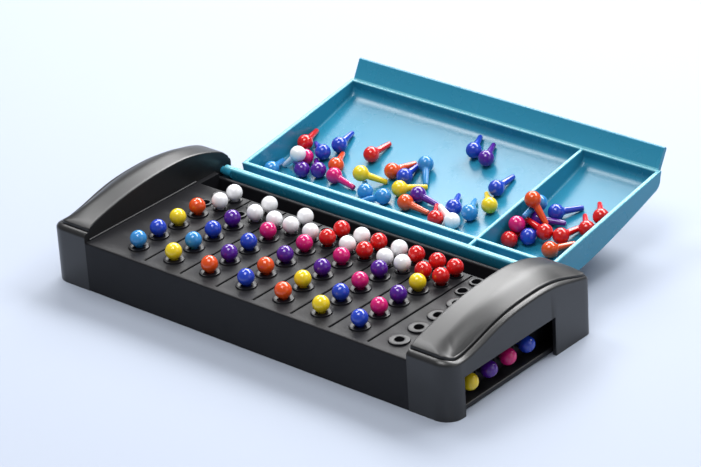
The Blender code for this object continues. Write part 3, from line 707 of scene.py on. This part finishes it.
def hood_path(hoods, inner, outer, side):
    """Plan of a hood, from its inner front round to its inner rear, as points and outward normals."""
    front, rear = HOOD_LOW.y, HOOD_HIGH.y
    r_front, r_rear = hoods.front_corner, hoods.rear_corner
    window = front + hoods.window_post
    straight = np.concatenate([
        np.linspace(front + r_front, window, 4)[1:-1],
        np.linspace(window, window + hoods.window_length, 41),
        np.linspace(window + hoods.window_length, rear - r_rear, 14)[1:-1],
    ])
    width, quarter = abs(outer - inner), math.pi / 2

    def bend(out, y, radius, start, steps):
        turn = np.linspace(start, start + quarter, steps)
        return out + radius * np.cos(turn), y + radius * np.sin(turn), turn

    parts = [
        (np.linspace(0.0, width - r_front, 9)[:-1], np.full(8, front), np.full(8, -quarter)),
        bend(width - r_front, front + r_front, r_front, -quarter, 13),
        (np.full(len(straight), width), straight, np.zeros(len(straight))),
        bend(width - r_rear, rear - r_rear, r_rear, 0.0, 7),
        (np.linspace(width - r_rear, 0.0, 8)[1:], np.full(7, rear), np.full(7, quarter)),
    ]
    out, y, turn = (np.concatenate([part[i] for part in parts]) for i in range(3))
    points = np.stack([inner + side * out, y], axis=1)
    normals = np.stack([side * np.cos(turn), np.sin(turn)], axis=1)
    return points, normals


def ledge_drop(hoods, y):
    """How far a hood's ledge lies below the arch at Y.

    Along the side it is body_drop, with a sag added behind the front: sag * exp(-(distance / length) ** 2).
    Towards either end it changes to that end's drop by the square of the share of the ease still ahead.
    """
    front, rear = HOOD_LOW.y, HOOD_HIGH.y
    sag = hoods.sag * np.exp(-((y - front - hoods.sag_place) / hoods.sag_length) ** 2)
    side = hoods.body_drop + sag
    from_front = np.clip(1.0 - (y - front) / hoods.front_ease, 0.0, 1.0) ** 2
    from_rear = np.clip(1.0 - (rear - y) / hoods.rear_ease, 0.0, 1.0) ** 2
    return side + (hoods.front_drop - side) * from_front + (hoods.rear_drop - side) * from_rear


def hood_shape(hoods, inner, outer, window):
    """An end hood's shell: one upright profile carried round its plan, then a roof that runs to the board.

    Going up, the profile's points are the plan point less an inset times its normal, and their height is
    the arch at that point's Y less a drop: the body's wall, the rounded ledge, the groove, and the band's
    side with its rounded edge. The inset shrinks towards the rear by the smooth step a * a * (3 - 2 * a).
    The shell's inner side lies its thickness further in, without the ledge's and groove's fine rows.
    """
    side = 1 if outer > inner else -1
    front, rear = HOOD_LOW.y, HOOD_HIGH.y
    plan, normal = hood_path(hoods, inner, outer, side)
    y = plan[:, 1]
    body = ledge_drop(hoods, y)
    ahead = np.clip((y - rear + hoods.rear_ease) / (hoods.rear_ease - hoods.rear_corner), 0.0, 1.0)
    squeeze = 1.0 - (1.0 - hoods.rear_setback) * ahead ** 2 * (3 - 2 * ahead)
    rows = []

    def add_row(inset, drop=None, level=None, drawn=0.0):
        place = plan - normal * (inset * squeeze + drawn)[:, None]
        z = np.full(len(plan), level) if drop is None else hood_arch(hoods, place[:, 1]) - drop
        rows.append(np.column_stack([place, z]))

    ledge, bead, back, groove, edge = hoods.ledge, hoods.bead, hoods.setback, hoods.groove, hoods.band_edge
    head = deck_level() - hoods.window_head_drop
    crown = body - hoods.band_height
    add_row(0.0, level=0.0)
    add_row(0.0, level=head)
    for turn in np.linspace(0.0, math.pi / 2, 9):
        add_row(ledge * (1 - math.cos(turn)), drop=body + bead * (1 - math.sin(turn)))
    for share, dip in GROOVE_PROFILE:
        add_row(ledge + share * (back - ledge), drop=body + dip * groove)
    for turn in np.linspace(0.0, math.pi / 2, 5)[:-1]:
        add_row(back, drop=crown + edge * (1 - math.sin(turn)), drawn=edge * (1 - math.cos(turn)))
    add_row(back, drop=crown, drawn=edge)
    outside = np.stack(rows + roof(hoods, rows[-1], crown, inner, 0.0, hoods.inner_edge))
    rows, shell = [], hoods.shell
    add_row(0.0, level=0.0, drawn=shell)
    add_row(0.0, level=head, drawn=shell)
    add_row(0.0, drop=body + shell, drawn=shell)
    add_row(back, drop=body + shell, drawn=shell)
    add_row(back, drop=crown + shell, drawn=shell)
    for row in rows:
        row[:, 0] = side * np.maximum(side * row[:, 0], side * inner + shell)
    inside = np.stack(rows + roof(hoods, rows[-1], crown, inner + side * shell, shell, 0.0))
    if not window:
        return shell_between(outside, inside, None)
    past_post = y - front - hoods.window_post
    on_side = normal[:, 0] > 0.99
    opening = on_side & (past_post >= -WELD) & (past_post <= hoods.window_length + WELD)
    return shell_between(outside, inside, opening[:-1] & opening[1:])


def hood_arch(hoods, y):
    """Height of a hood's arch at Y."""
    front, rear = HOOD_LOW.y, HOOD_HIGH.y
    return arch(y, hoods.rise, hoods.drop, hoods.power, front + hoods.crest, front, rear)


def roof(hoods, rim, crown, edge_x, drop, ease):
    """Rows of a hood's roof, from the band's rim to the edge at edge_x: rim + share * (edge - rim).

    The height is the arch less the crown times (1 - distance from the rim / crown width) squared. The rim's
    points at the front and rear spread along the edge, so that the rows keep apart there. The last rows
    round the edge off by the ease.
    """
    front, rear = HOOD_LOW.y, HOOD_HIGH.y
    plan = rim[:, :2]
    start, end = plan[0, 1], plan[-1, 1]
    share = np.linspace(0.0, 1.0, len(plan))
    near = share[plan[:, 1] <= front + hoods.front_corner][-1]
    far = share[plan[:, 1] >= rear - hoods.rear_corner][0]
    along = np.interp(share, [0.0, near, far, 1.0],
                      [start, start + 2.0 * hoods.front_corner, end - 3 * hoods.rear_corner, end])
    gap = np.column_stack([np.full(len(plan), edge_x), along]) - plan
    distance = np.linalg.norm(gap, axis=1)
    last = 1.0 - np.minimum(ease, 0.5 * distance) / np.maximum(distance, 1e-9)
    rows = []

    def add_row(part, fall):
        place = plan + gap * part[:, None]
        fade = np.clip(1.0 - part * distance / hoods.crown_width, 0.0, 1.0) ** 2
        rows.append(np.column_stack([place, hood_arch(hoods, place[:, 1]) - crown * fade - drop - fall]))

    for part in np.linspace(0.0, 1.0, 16)[1:-1] ** 1.3:
        add_row(np.minimum(part, last), 0.0)
    for part, fall in ((0.0, 0.0), (0.7, 0.3), (1.0, 1.0)) if ease else ((1.0, 0.0),):
        add_row(last + part * (1.0 - last), fall * ease)
    return rows


def shell_between(outside, inside, opening):
    """A closed shell from outer and inner rows, with their flat walls over the board and the rim below.

    The opening marks the columns of the first row of faces that are left out on both sides.
    """
    count = outside.shape[1]
    kept = np.ones(count - 1, bool) if opening is None else ~opening
    first = outside.shape[0] * count
    points = np.concatenate([outside.reshape(-1, 3), inside.reshape(-1, 3)])
    quads, walls = [], []
    for rows, start, flip in ((outside, 0, 1), (inside, first, -1)):
        index = start + np.arange(len(rows) * count).reshape(len(rows), count)
        faces = (grid(rows)[1] + start).reshape(len(rows) - 1, count - 1, 4)
        quads.append(np.concatenate([faces[0][kept], faces[1:].reshape(-1, 4)])[:, ::flip])
        walls.append(np.concatenate([index[:, -1], index[-1, -2::-1], index[-2::-1, 0]])[::flip])
    low = np.arange(count)
    rim = np.stack([low[:-1], low[1:], first + low[1:], first + low[:-1]], axis=1)[kept]
    quads.append(rim)
    quads.append(np.array([[count - 1, 0, first, first + count - 1]]))
    if opening is not None:
        post, end = np.flatnonzero(opening)[0], np.flatnonzero(opening)[-1] + 1
        head = np.arange(post, end)
        quads.append(np.stack([head, head + 1, first + head + 1, first + head], axis=1) + count)
        quads.append(np.array([[post, post + count, first + post + count, first + post],
                               [end + count, end, first + end, first + end + count]]))
    return points, np.concatenate(quads), walls


# The code panel behind the window


def panel_shapes(board, pegs):
    """Upright plate with four ringed holes, made as deck tiles and stood up, with sill and back walls."""
    low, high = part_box("code_panel")
    face = SECRET_REACH - 2 * pegs.head - pegs.lift
    level_z = middle("secret_peg_1").z
    places = [middle(f"secret_peg_{i + 1}").y for i in range(ROWS)]
    edges = [low.y] + [(a + b) / 2 for a, b in zip(places, places[1:])] + [places[-1] + ROW_PITCH / 2]
    cells = [(y, level_z, near, far, low.z, high.z) for y, near, far in zip(places, edges, edges[1:])]
    tiles = plate_cells(cells, board.code_ring, face, board, 0.0)
    stood = [(points[:, [2, 0, 1]], quads, caps) for points, quads, caps in tiles]
    back, under, sill = face - board.deck, high.z - board.wall, low.z + board.sill
    for outline, near, far in (
        ([(back, low.z), (face, low.z), (face, high.z), (low.x, high.z), (low.x, under), (back, under)],
         edges[-1], high.y),
        ([(low.x, under), (back, under), (back, high.z), (low.x, high.z)], low.y, edges[-1]),
        ([(face, low.z), (high.x, low.z), (high.x, sill - board.sill_edge),
          (high.x - board.sill_edge, sill), (face, sill)], low.y, high.y),
    ):
        stood.append(swept(outline, (near, far), axis=1))
    return stood


# The hinged tray


def tray_frame(tray):
    """The shut tray's front and rear, left and right ends, the height of its rims, and its near wall."""
    return (
        HOOD_LOW.y - tray.front_reach, HINGE_PLACE.y + tray.rear_offset,
        HOOD_LEFT_FACE + tray.end_gap, HOOD_LOW.x - tray.end_gap,
        deck_level() + tray.edge_gap, deck_rear(sizes("board")) + tray.near_wall_gap,
    )


def tray_arch(tray, lowered, steps=26):
    """Points in Y and Z along the tray's arch, drawn in by a distance, with rounded ends."""
    front_round, rear_round = tray.front_round - lowered, tray.rear_round - lowered
    crest = HOOD_LOW.y + sizes("hoods").crest
    front, rear = tray_frame(tray)[:2]
    start, end = front + lowered + front_round, rear - lowered - rear_round

    def level(y):
        return arch(y, tray.rise - lowered, tray.drop, tray.power, crest, HOOD_LOW.y, HOOD_HIGH.y)

    along = np.linspace(start, end, steps)[1:-1]
    return np.concatenate([
        arc((start, level(np.array(start)) - front_round), front_round, math.pi, math.pi / 2, 10),
        np.column_stack([along, level(along)]),
        arc((end, level(np.array(end)) - rear_round), rear_round, math.pi / 2, 0.0, 12),
    ])


def crossing(walls, fillet, steps):
    """Stations across walls and rooms: place, whether it is in a room, and how far it is eased.

    Each wall (low, high, rim) gives a rounded rim, a quarter turn of rim * (1 - cos) and rim * (1 - sin) on
    both sides, and each room a fillet at both ends with evenly spaced stations between.
    """
    quarter = np.linspace(0.0, math.pi / 2, 6)
    fillet_step, fillet_ease = fillet * (1 - np.cos(quarter)), fillet * (1 - np.sin(quarter))
    place, room, ease = [], [], []

    def add(places, in_room, eased):
        place.append(places)
        room.append(np.full(len(places), in_room))
        ease.append(eased)

    for index, (low, high, rim) in enumerate(walls):
        rim_step, rim_ease = rim * (1 - np.cos(quarter)), rim * (1 - np.sin(quarter))
        add(low + rim_step, False, rim_ease)
        add((high - rim_step)[::-1], False, rim_ease[::-1])
        if index + 1 < len(walls):
            start, end = high, walls[index + 1][0]
            add(start + fillet_step, True, fillet_ease)
            add(np.linspace(start + fillet, end - fillet, steps + 2)[1:-1], True, np.zeros(steps))
            add((end - fillet_step)[::-1], True, fillet_ease[::-1])
    return np.concatenate(place), np.concatenate(room), np.concatenate(ease)


def tray_underside(tray, x, x_room, x_ease):
    """Points of the shut tray's underside at stations along X: rooms, walls, gutter and rail.

    The height at a station pair is the lesser of two: along X, the rim with its rounding, or the ceiling
    less a fillet; along Y, the same.
    """
    front, rear, left, right, edge, near = tray_frame(tray)
    ceiling = tray_arch(tray, tray.skin)
    rail_front = rear - tray.rail
    y, y_room, y_ease = crossing(
        [(front, front + tray.skin, tray.rim), (near, near + tray.wall, tray.rim),
         (rail_front, rear, tray.rail_rim)], tray.fillet, 26,
    )
    over = np.interp(y, ceiling[:, 0], ceiling[:, 1])
    rail = y >= rail_front - WELD
    gutter = y_room & (y > near + tray.wall / 2)
    front_side = y_room & (y < (front + near) / 2)
    eased_y = np.where(front_side & (y < front + 2 * tray.fillet), 0.0, y_ease)
    outer_x = np.where((x < left + tray.rim) | (x > right - tray.rim), x_ease, 0.0)
    outer_y = np.where(y < front + tray.rim, y_ease, 0.0)
    rims_y = edge + np.maximum(y_ease, outer_x[:, None])
    height_y = np.where(y_room, np.maximum(over - eased_y, edge), rims_y)
    height_y = np.where(rail & ~y_room, HINGE_PLACE.z - tray.rail_drop + y_ease, height_y)
    at_end = (x <= left + tray.wall + WELD) | (x >= right - tray.wall - WELD)
    wall_x = ~x_room[:, None] & ~(at_end[:, None] & (gutter | rail)[None, :])
    height_x = np.where(wall_x, edge + np.maximum(x_ease[:, None], outer_y),
                        over - np.where(x_room, x_ease, 0.0)[:, None])
    height = np.minimum(np.maximum(height_x, edge), height_y)
    return np.stack(np.broadcast_arrays(x[:, None], y[None, :], height), axis=-1)


def tray_skin(tray, x):
    """Rows of points of the arched skin, from the right end to the left, rolled over at both ends.

    On a roll, inset = roll * (1 - sin a) and X = end - roll * (1 - cos a). It fades out at the rims.
    """
    front, rear, left, right, edge, _ = tray_frame(tray)
    foot = HINGE_PLACE.z - tray.rail_drop + tray.rail_rim
    skin = np.concatenate([[(front, edge + tray.rim)], tray_arch(tray, 0.0, 34), [(rear, foot)]])
    ahead = np.gradient(skin, axis=0)
    ahead /= np.linalg.norm(ahead, axis=1)[:, None]
    normal = np.column_stack([-ahead[:, 1], ahead[:, 0]])
    run = np.concatenate([[0.0], np.cumsum(np.linalg.norm(np.diff(skin, axis=0), axis=1))])
    roll = np.minimum(tray.end_round, 0.6 * np.minimum(run, run[-1] - run))

    def rolled(end, side, turn):
        inset = skin - normal * (roll * (1 - math.sin(turn)))[:, None]
        return np.column_stack([end - side * roll * (1 - math.cos(turn)), inset])

    turns = np.linspace(0.0, math.pi / 2, 7)
    return np.stack([
        *(rolled(right, 1, turn) for turn in turns),
        *(np.column_stack([np.clip(place, left + roll, right - roll), skin]) for place in x[::-1]),
        *(rolled(left, -1, turn) for turn in turns[::-1]),
    ])


def tray_shapes(tray):
    """The shut tray: a body of underside, skin and two flat ends, then the flap and the hinge pins."""
    front, _, left, right, edge, _ = tray_frame(tray)
    divider, half = column_x(DIVIDER_COLUMN) + tray.divider_gap, tray.divider / 2
    x, x_room, x_ease = crossing(
        [(left, left + tray.wall, tray.rim), (divider - half, divider + half, tray.rim),
         (right - tray.wall, right, tray.rim)], tray.fillet, 10,
    )
    below, above = tray_underside(tray, x, x_room, x_ease), tray_skin(tray, x)
    first = below.size // 3
    low = np.arange(first).reshape(below.shape[:2])
    high = first + np.arange(above.size // 3).reshape(above.shape[:2])
    ends = [np.concatenate([low[0], high[-1, ::-1]]), np.concatenate([low[-1, ::-1], high[0]])]
    points = np.concatenate([below.reshape(-1, 3), above.reshape(-1, 3)])
    quads = np.concatenate([grid(below)[1], grid(above)[1] + first])
    flap = flap_shape(tray, front, left, right, edge)
    return [(points, quads, ends), flap, *pin_shapes(tray, left, right)]


def flap_shape(tray, front, left, right, edge):
    """The flap: a strip with a rounded lower edge that hangs from a shoulder, short of both ends."""
    base = np.array((HOOD_LOW.y - tray.flap_base, edge))
    along = np.array((-math.cos(tray.flap_turn), -math.sin(tray.flap_turn)))
    across = np.array((-math.sin(tray.flap_turn), math.cos(tray.flap_turn)))
    edge_round = 0.45 * tray.flap
    tip = base + along * (tray.flap_length - edge_round)
    turn = math.atan2(-across[1], -across[0])
    low = arc(tip + across * edge_round, edge_round, turn, turn - math.pi / 2, 5)
    centre = tip + across * (tray.flap - edge_round)
    high = arc(centre, edge_round, turn - math.pi / 2, turn - math.pi, 5)
    inside = front + tray.skin / 2
    shoulder = [(front, edge + tray.shoulder), (inside, edge + tray.shoulder), (inside, edge + tray.rim / 2)]
    outline = np.concatenate([[base + (0.0, tray.tuck)], low, high, [base + across * tray.flap], shoulder])
    return swept(outline, np.linspace(left + tray.flap_inset, right - tray.flap_inset, 7))


def pin_shapes(tray, left, right):
    """A boss at each end of the rail and the pin that stands out of it, turned about the hinge's axis."""
    boss, pin, soft, foot = tray.boss, tray.pin, tray.rim, tray.boss_length
    tip = foot + tray.end_gap + tray.pin_reach
    profile = [
        (0.0, 0.0), (boss, 0.0), (boss, foot - soft), (boss - 0.3 * soft, foot - 0.3 * soft),
        (boss - soft, foot), (pin, foot), (pin, tip - soft), (pin - soft, tip), (0.0, tip),
    ]
    return [
        turned(profile, 24, Vector((end - side * foot, HINGE_PLACE.y, HINGE_PLACE.z)), Vector((side, 0, 0)))
        for end, side in ((left, -1), (right, 1))
    ]


def opened(points):
    """Points turned with the tray from shut to open, about the hinge."""
    turn = np.array(Matrix.Rotation(OPEN_TURN, 3, "X"))
    centre = np.array(HINGE_PLACE)
    return (points - centre) @ turn.T + centre


# The pegs


def peg_profile(pegs):
    """A peg's outline from the top of its ball to its stem's tip, as radius and height above its seat.

    The ball ends where it has narrowed to 1.18 times the stem's root.
    """
    seat = pegs.lift + pegs.head
    neck = math.pi - math.asin(1.18 * pegs.root / pegs.head)
    ball = np.linspace(0.0, neck, 17)
    head = np.column_stack([pegs.head * np.sin(ball), seat + pegs.head * np.cos(ball)])
    fall = head[-1, 1]
    tip = pegs.lift - pegs.stem
    soft = 0.45 * pegs.tip
    end = arc((pegs.tip - soft, tip + soft), soft, 0.0, -math.pi / 2, 5)
    stem = [(pegs.root, fall - pegs.collar), (0.98 * pegs.root, fall - pegs.taper)]
    return np.concatenate([head, stem, end, [(0.0, tip)]])


# Spare pegs in the open tray, by colour: the head's place along X, out from the hinge and up from it in
# millimetres, then the heading and the rise of the stem from the head in degrees
SPARE_PEGS = {
    "red": (
        (-54.8, 31.2, -1.6, 105, 2), (-31.0, 34.8, -0.8, 86, 3), (8.3, 17.2, -4.1, 126, 0),
        (34.8, 18.6, -4.0, 95, -2), (42.9, 25.1, -2.0, 166, 7), (47.6, 26.6, -2.6, 77, 1),
        (52.6, 32.5, -1.3, 130, 0), (53.2, 38.7, 0.2, 129, 0),
    ),
    "orange": (
        (-37.8, 26.0, -2.8, 116, 0), (-19.5, 30.9, -1.7, 70, 1), (-5.5, 20.0, -3.9, 5, -11),
        (35.4, 29.5, 4.7, -6, -51), (48.6, 19.9, -3.9, 66, -2),
    ),
    "yellow": (
        (-25.9, 23.7, -1.3, 33, -21), (-11.7, 24.9, -3.0, 46, -3), (18.9, 29.7, -2.0, 134, -2),
    ),
    "pink": (
        (-49.6, 25.4, -2.9, 153, -6), (-34.8, 21.5, -3.6, -3, -12), (34.7, 22.5, -0.7, 101, -23),
    ),
    "purple": (
        (-46.2, 19.6, -3.9, 148, -7), (-41.3, 21.7, -3.6, 136, -4), (-4.5, 24.9, -3.0, 1, -12),
        (4.3, 47.0, 2.5, 112, 4), (36.5, 30.3, -1.8, 22, -4),
    ),
    "blue": (
        (-46.2, 29.6, -2.0, 146, -5), (-43.6, 34.5, -0.8, 101, 3), (-14.1, 30.2, -1.8, 96, 2),
        (-1.6, 48.5, 3.0, 114, 4), (9.6, 24.3, -3.1, 118, -1), (15.9, 37.0, -0.2, 90, 3),
        (38.9, 22.4, -3.5, 85, 0), (39.6, 35.0, -0.7, 55, 0),
    ),
    "light_blue": (
        (-54.7, 15.1, -4.2, 107, -6), (-20.3, 19.0, -4.0, 131, -5), (-13.7, 19.4, -3.9, -147, -14),
        (-11.8, 37.7, 0.0, -52, -23), (15.6, 24.3, -3.1, 117, -1), (34.7, 33.4, 1.7, -86, -6),
    ),
    "white": (
        (-49.0, 21.3, 0.0, 179, -43), (13.5, 18.5, -4.0, 154, 9),
    ),
}


def spare_peg(profile, pegs, place):
    """A peg lying in the open tray: its profile turned about the line from stem to head."""
    along, out, up, heading, rise = place
    heading, rise = math.radians(heading), math.radians(rise)
    flat = math.cos(rise)
    axis = -Vector((flat * math.cos(heading), flat * math.sin(heading), math.sin(rise)))
    centre = Vector((along * MM, HINGE_PLACE.y + out * MM, HINGE_PLACE.z + up * MM))
    return turned(profile, PEG_SIDES, centre - axis * (pegs.lift + pegs.head), axis)


class PEGGAME_OT_board(bpy.types.Operator):
    """Makes the case body: deck with ringed holes and grooves, walls, well, rib and apron"""

    bl_idname = "peg_game.board"
    bl_label = "Case body"

    def execute(self, context):
        look, board = sizes("look"), sizes("board")
        ring_finish = (ring_tops, look.case, 0.32)
        finish = moulded(look.case, "case_satin", accent=ring_finish)
        add_piece("case_body", board_shapes(board), finish, "case", ["main_case"])
        cover = frame["nodes"]["bottom_cover"]
        cover.data.materials.clear()
        cover.data.materials.append(moulded(look.case, "cover_satin"))
        return {"FINISHED"}


class PEGGAME_OT_hoods(bpy.types.Operator):
    """Makes the two arched end hoods, the right one with its code window"""

    bl_idname = "peg_game.hoods"
    bl_label = "End hoods"

    def execute(self, context):
        hoods = sizes("hoods")
        finish = moulded(sizes("look").hood, "hood_satin")
        for name, inner, outer, window in (
            ("left", HOOD_LEFT_FACE, HOOD_LEFT_END, False), ("right", HOOD_LOW.x, HOOD_HIGH.x, True),
        ):
            shape = hood_shape(hoods, inner, outer, window)
            add_piece(
                f"{name}_end_hood", [shape], finish, "case", [f"{name}_hood"], hoods.soft
            )
        return {"FINISHED"}


class PEGGAME_OT_code_panel(bpy.types.Operator):
    """Makes the ringed panel behind the window that the secret code plugs into"""

    bl_idname = "peg_game.code_panel"
    bl_label = "Code panel"

    def execute(self, context):
        finish = moulded(sizes("look").case, "panel_satin")
        shapes = panel_shapes(sizes("board"), sizes("pegs"))
        add_piece("secret_panel", shapes, finish, "case", ["code_panel"])
        return {"FINISHED"}


class PEGGAME_OT_tray(bpy.types.Operator):
    """Makes the hinged tray with its two rooms, gutter, flap and pins"""

    bl_idname = "peg_game.tray"
    bl_label = "Hinged tray"

    def execute(self, context):
        look = sizes("look")
        # The rims get a paler colour: partly the thin plastic, partly a painted highlight
        rim_highlight_finish = (rim_highlight_mask, look.rim_highlight_shade, 0.2)
        finish = moulded(look.tray, "tray_gloss", accent=rim_highlight_finish)
        shapes = [(opened(points), quads, caps) for points, quads, caps in tray_shapes(sizes("tray"))]
        add_piece("peg_tray", shapes, finish, "tray", ["tray"])
        return {"FINISHED"}


class PEGGAME_OT_pegs(bpy.types.Operator):
    """Makes the pegs on the board and the secret code"""

    bl_idname = "peg_game.pegs"
    bl_label = "Pegs in their holes"

    def execute(self, context):
        pegs = sizes("pegs")
        profile = peg_profile(pegs)
        finishes = peg_finishes(pegs)
        for node in sorted(frame["nodes"]):
            slot = SLOTS[node]
            if slot not in finishes:
                continue
            way = 0 if node.startswith("secret") else 2
            start, axis = middle(node), Vector((0, 0, 0))
            start[way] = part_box(node)[1][way] - 2 * pegs.head - pegs.lift
            axis[way] = 1
            shape = turned(profile, PEG_SIDES, start, axis)
            add_piece(f"{node}_finished", [shape], finishes[slot], node, [node])
        return {"FINISHED"}


def peg_finishes(pegs):
    """A glossy finish for each colour of peg, by the name of its slot."""
    names = ("yellow", "orange", "red", "pink", "purple", "blue", "light_blue", "white")
    return {f"peg_{name}": moulded(getattr(pegs, name), "peg_gloss", f"{name}_gloss") for name in names}


class PEGGAME_OT_spares(bpy.types.Operator):
    """Makes the spare pegs that lie in the open tray, one piece for each colour"""

    bl_idname = "peg_game.spares"
    bl_label = "Spare pegs"

    def execute(self, context):
        pegs = sizes("pegs")
        profile = peg_profile(pegs)
        for slot, finish in peg_finishes(pegs).items():
            colour_name = slot.removeprefix("peg_")
            shapes = [spare_peg(profile, pegs, place) for place in SPARE_PEGS[colour_name]]
            add_piece(f"spare_pegs_{colour_name}", shapes, finish, "tray")
        return {"FINISHED"}


class PEGGAME_OT_stage(bpy.types.Operator):
    """Sets the floor, the lights, the world and the camera"""

    bl_idname = "peg_game.stage"
    bl_label = "Stage"

    def execute(self, context):
        look = sizes("look")
        set_floor(look)
        set_lights(look)
        set_camera(look)
        context.scene.view_settings.view_transform = "Standard"
        return {"FINISHED"}


def set_floor(look):
    """A wide plain floor of one pale colour."""
    reach = 3.0
    corners = [(-reach, -reach, 0), (reach, -reach, 0), (reach, reach, 0), (-reach, reach, 0)]
    mesh = bpy.data.meshes.new("floor")
    mesh.from_pydata(corners, [], [(0, 1, 2, 3)])
    material, shader, _ = new_finish("floor")
    shader.inputs["Base Color"].default_value = (*look.floor, 1.0)
    shader.inputs["Roughness"].default_value = 0.7
    mesh.materials.append(material)
    placed("floor", mesh)


def set_lights(look):
    """Broad lamps: behind on the left and in the middle, overhead, on the left and on the right."""
    aim = Vector(look.aim)
    for name, place, width, depth, power in (
        ("key", (-0.36, 0.54, 0.50), 0.45, 0.45, 5.0),
        ("back", (0.10, 0.62, 0.66), 0.80, 0.30, 9.0),
        ("top", (0.10, -0.30, 0.95), 0.45, 0.45, 6.0),
        ("left", (-0.52, 0.10, 0.74), 0.30, 0.30, 3.2),
        ("fill", (0.95, 0.15, 0.45), 0.70, 0.70, 1.2),
    ):
        lamp = bpy.data.lights.new(name, "AREA")
        lamp.shape = "RECTANGLE"
        lamp.size = width
        lamp.size_y = depth
        lamp.energy = power
        item = placed(name, lamp)
        item.location = place
        item.rotation_euler = (Vector(place) - aim).to_track_quat("Z", "Y").to_euler()
    world = bpy.data.worlds.new("studio")
    world.use_nodes = True
    back = world.node_tree.nodes["Background"]
    back.inputs["Color"].default_value = (0.93, 0.96, 1.0, 1.0)
    back.inputs["Strength"].default_value = 0.24
    bpy.context.scene.world = world


def set_camera(look):
    """The camera at aim + distance * (sin t cos h, -cos t cos h, sin h), for turn t and height h."""
    camera = bpy.data.cameras.new("camera")
    camera.lens = look.lens
    camera.sensor_width = 36.0
    camera.clip_start = 0.05
    camera.clip_end = 20.0
    away = Vector((
        math.sin(look.turn) * math.cos(look.height),
        -math.cos(look.turn) * math.cos(look.height),
        math.sin(look.height),
    ))
    facing = away.to_track_quat("Z", "Y").to_matrix().to_4x4()
    place = Matrix.Translation(Vector(look.aim) + away * look.distance)
    item = placed("camera", camera)
    item.matrix_world = place @ facing @ Matrix.Rotation(look.roll, 4, "Z")
    bpy.context.scene.camera = item


class PEGGAME_PT_pieces(bpy.types.Panel):
    """Lists the steps that build the game"""

    bl_idname = "PEGGAME_PT_pieces"
    bl_label = "Peg Game"
    bl_space_type = "VIEW_3D"
    bl_region_type = "UI"
    bl_category = "Peg Game"

    def draw(self, context):
        for step in STEPS:
            self.layout.operator(step.bl_idname)


STEPS = (
    PEGGAME_OT_stage, PEGGAME_OT_board, PEGGAME_OT_hoods, PEGGAME_OT_code_panel,
    PEGGAME_OT_tray, PEGGAME_OT_pegs, PEGGAME_OT_spares,
)
GROUPS = {
    "board": PegGameBoard, "hoods": PegGameHoods, "tray": PegGameTray,
    "pegs": PegGamePegs, "look": PegGameLook,
}


def register():
    """Registers the settings, the steps and the panel."""
    for group, kind in GROUPS.items():
        bpy.utils.register_class(kind)
        setattr(bpy.types.Scene, "peg_game_" + group, bpy.props.PointerProperty(type=kind))
    for kind in (*STEPS, PEGGAME_PT_pieces):
        bpy.utils.register_class(kind)


def unregister():
    """Takes back what register added, in reverse."""
    for kind in (PEGGAME_PT_pieces, *reversed(STEPS)):
        bpy.utils.unregister_class(kind)
    for group, kind in reversed(GROUPS.items()):
        delattr(bpy.types.Scene, "peg_game_" + group)
        bpy.utils.unregister_class(kind)


def main():
    """Runs every step."""
    register()
    for step in STEPS:
        group, action = step.bl_idname.split(".")
        getattr(getattr(bpy.ops, group), action)()


if __name__ == "__main__":
    main()
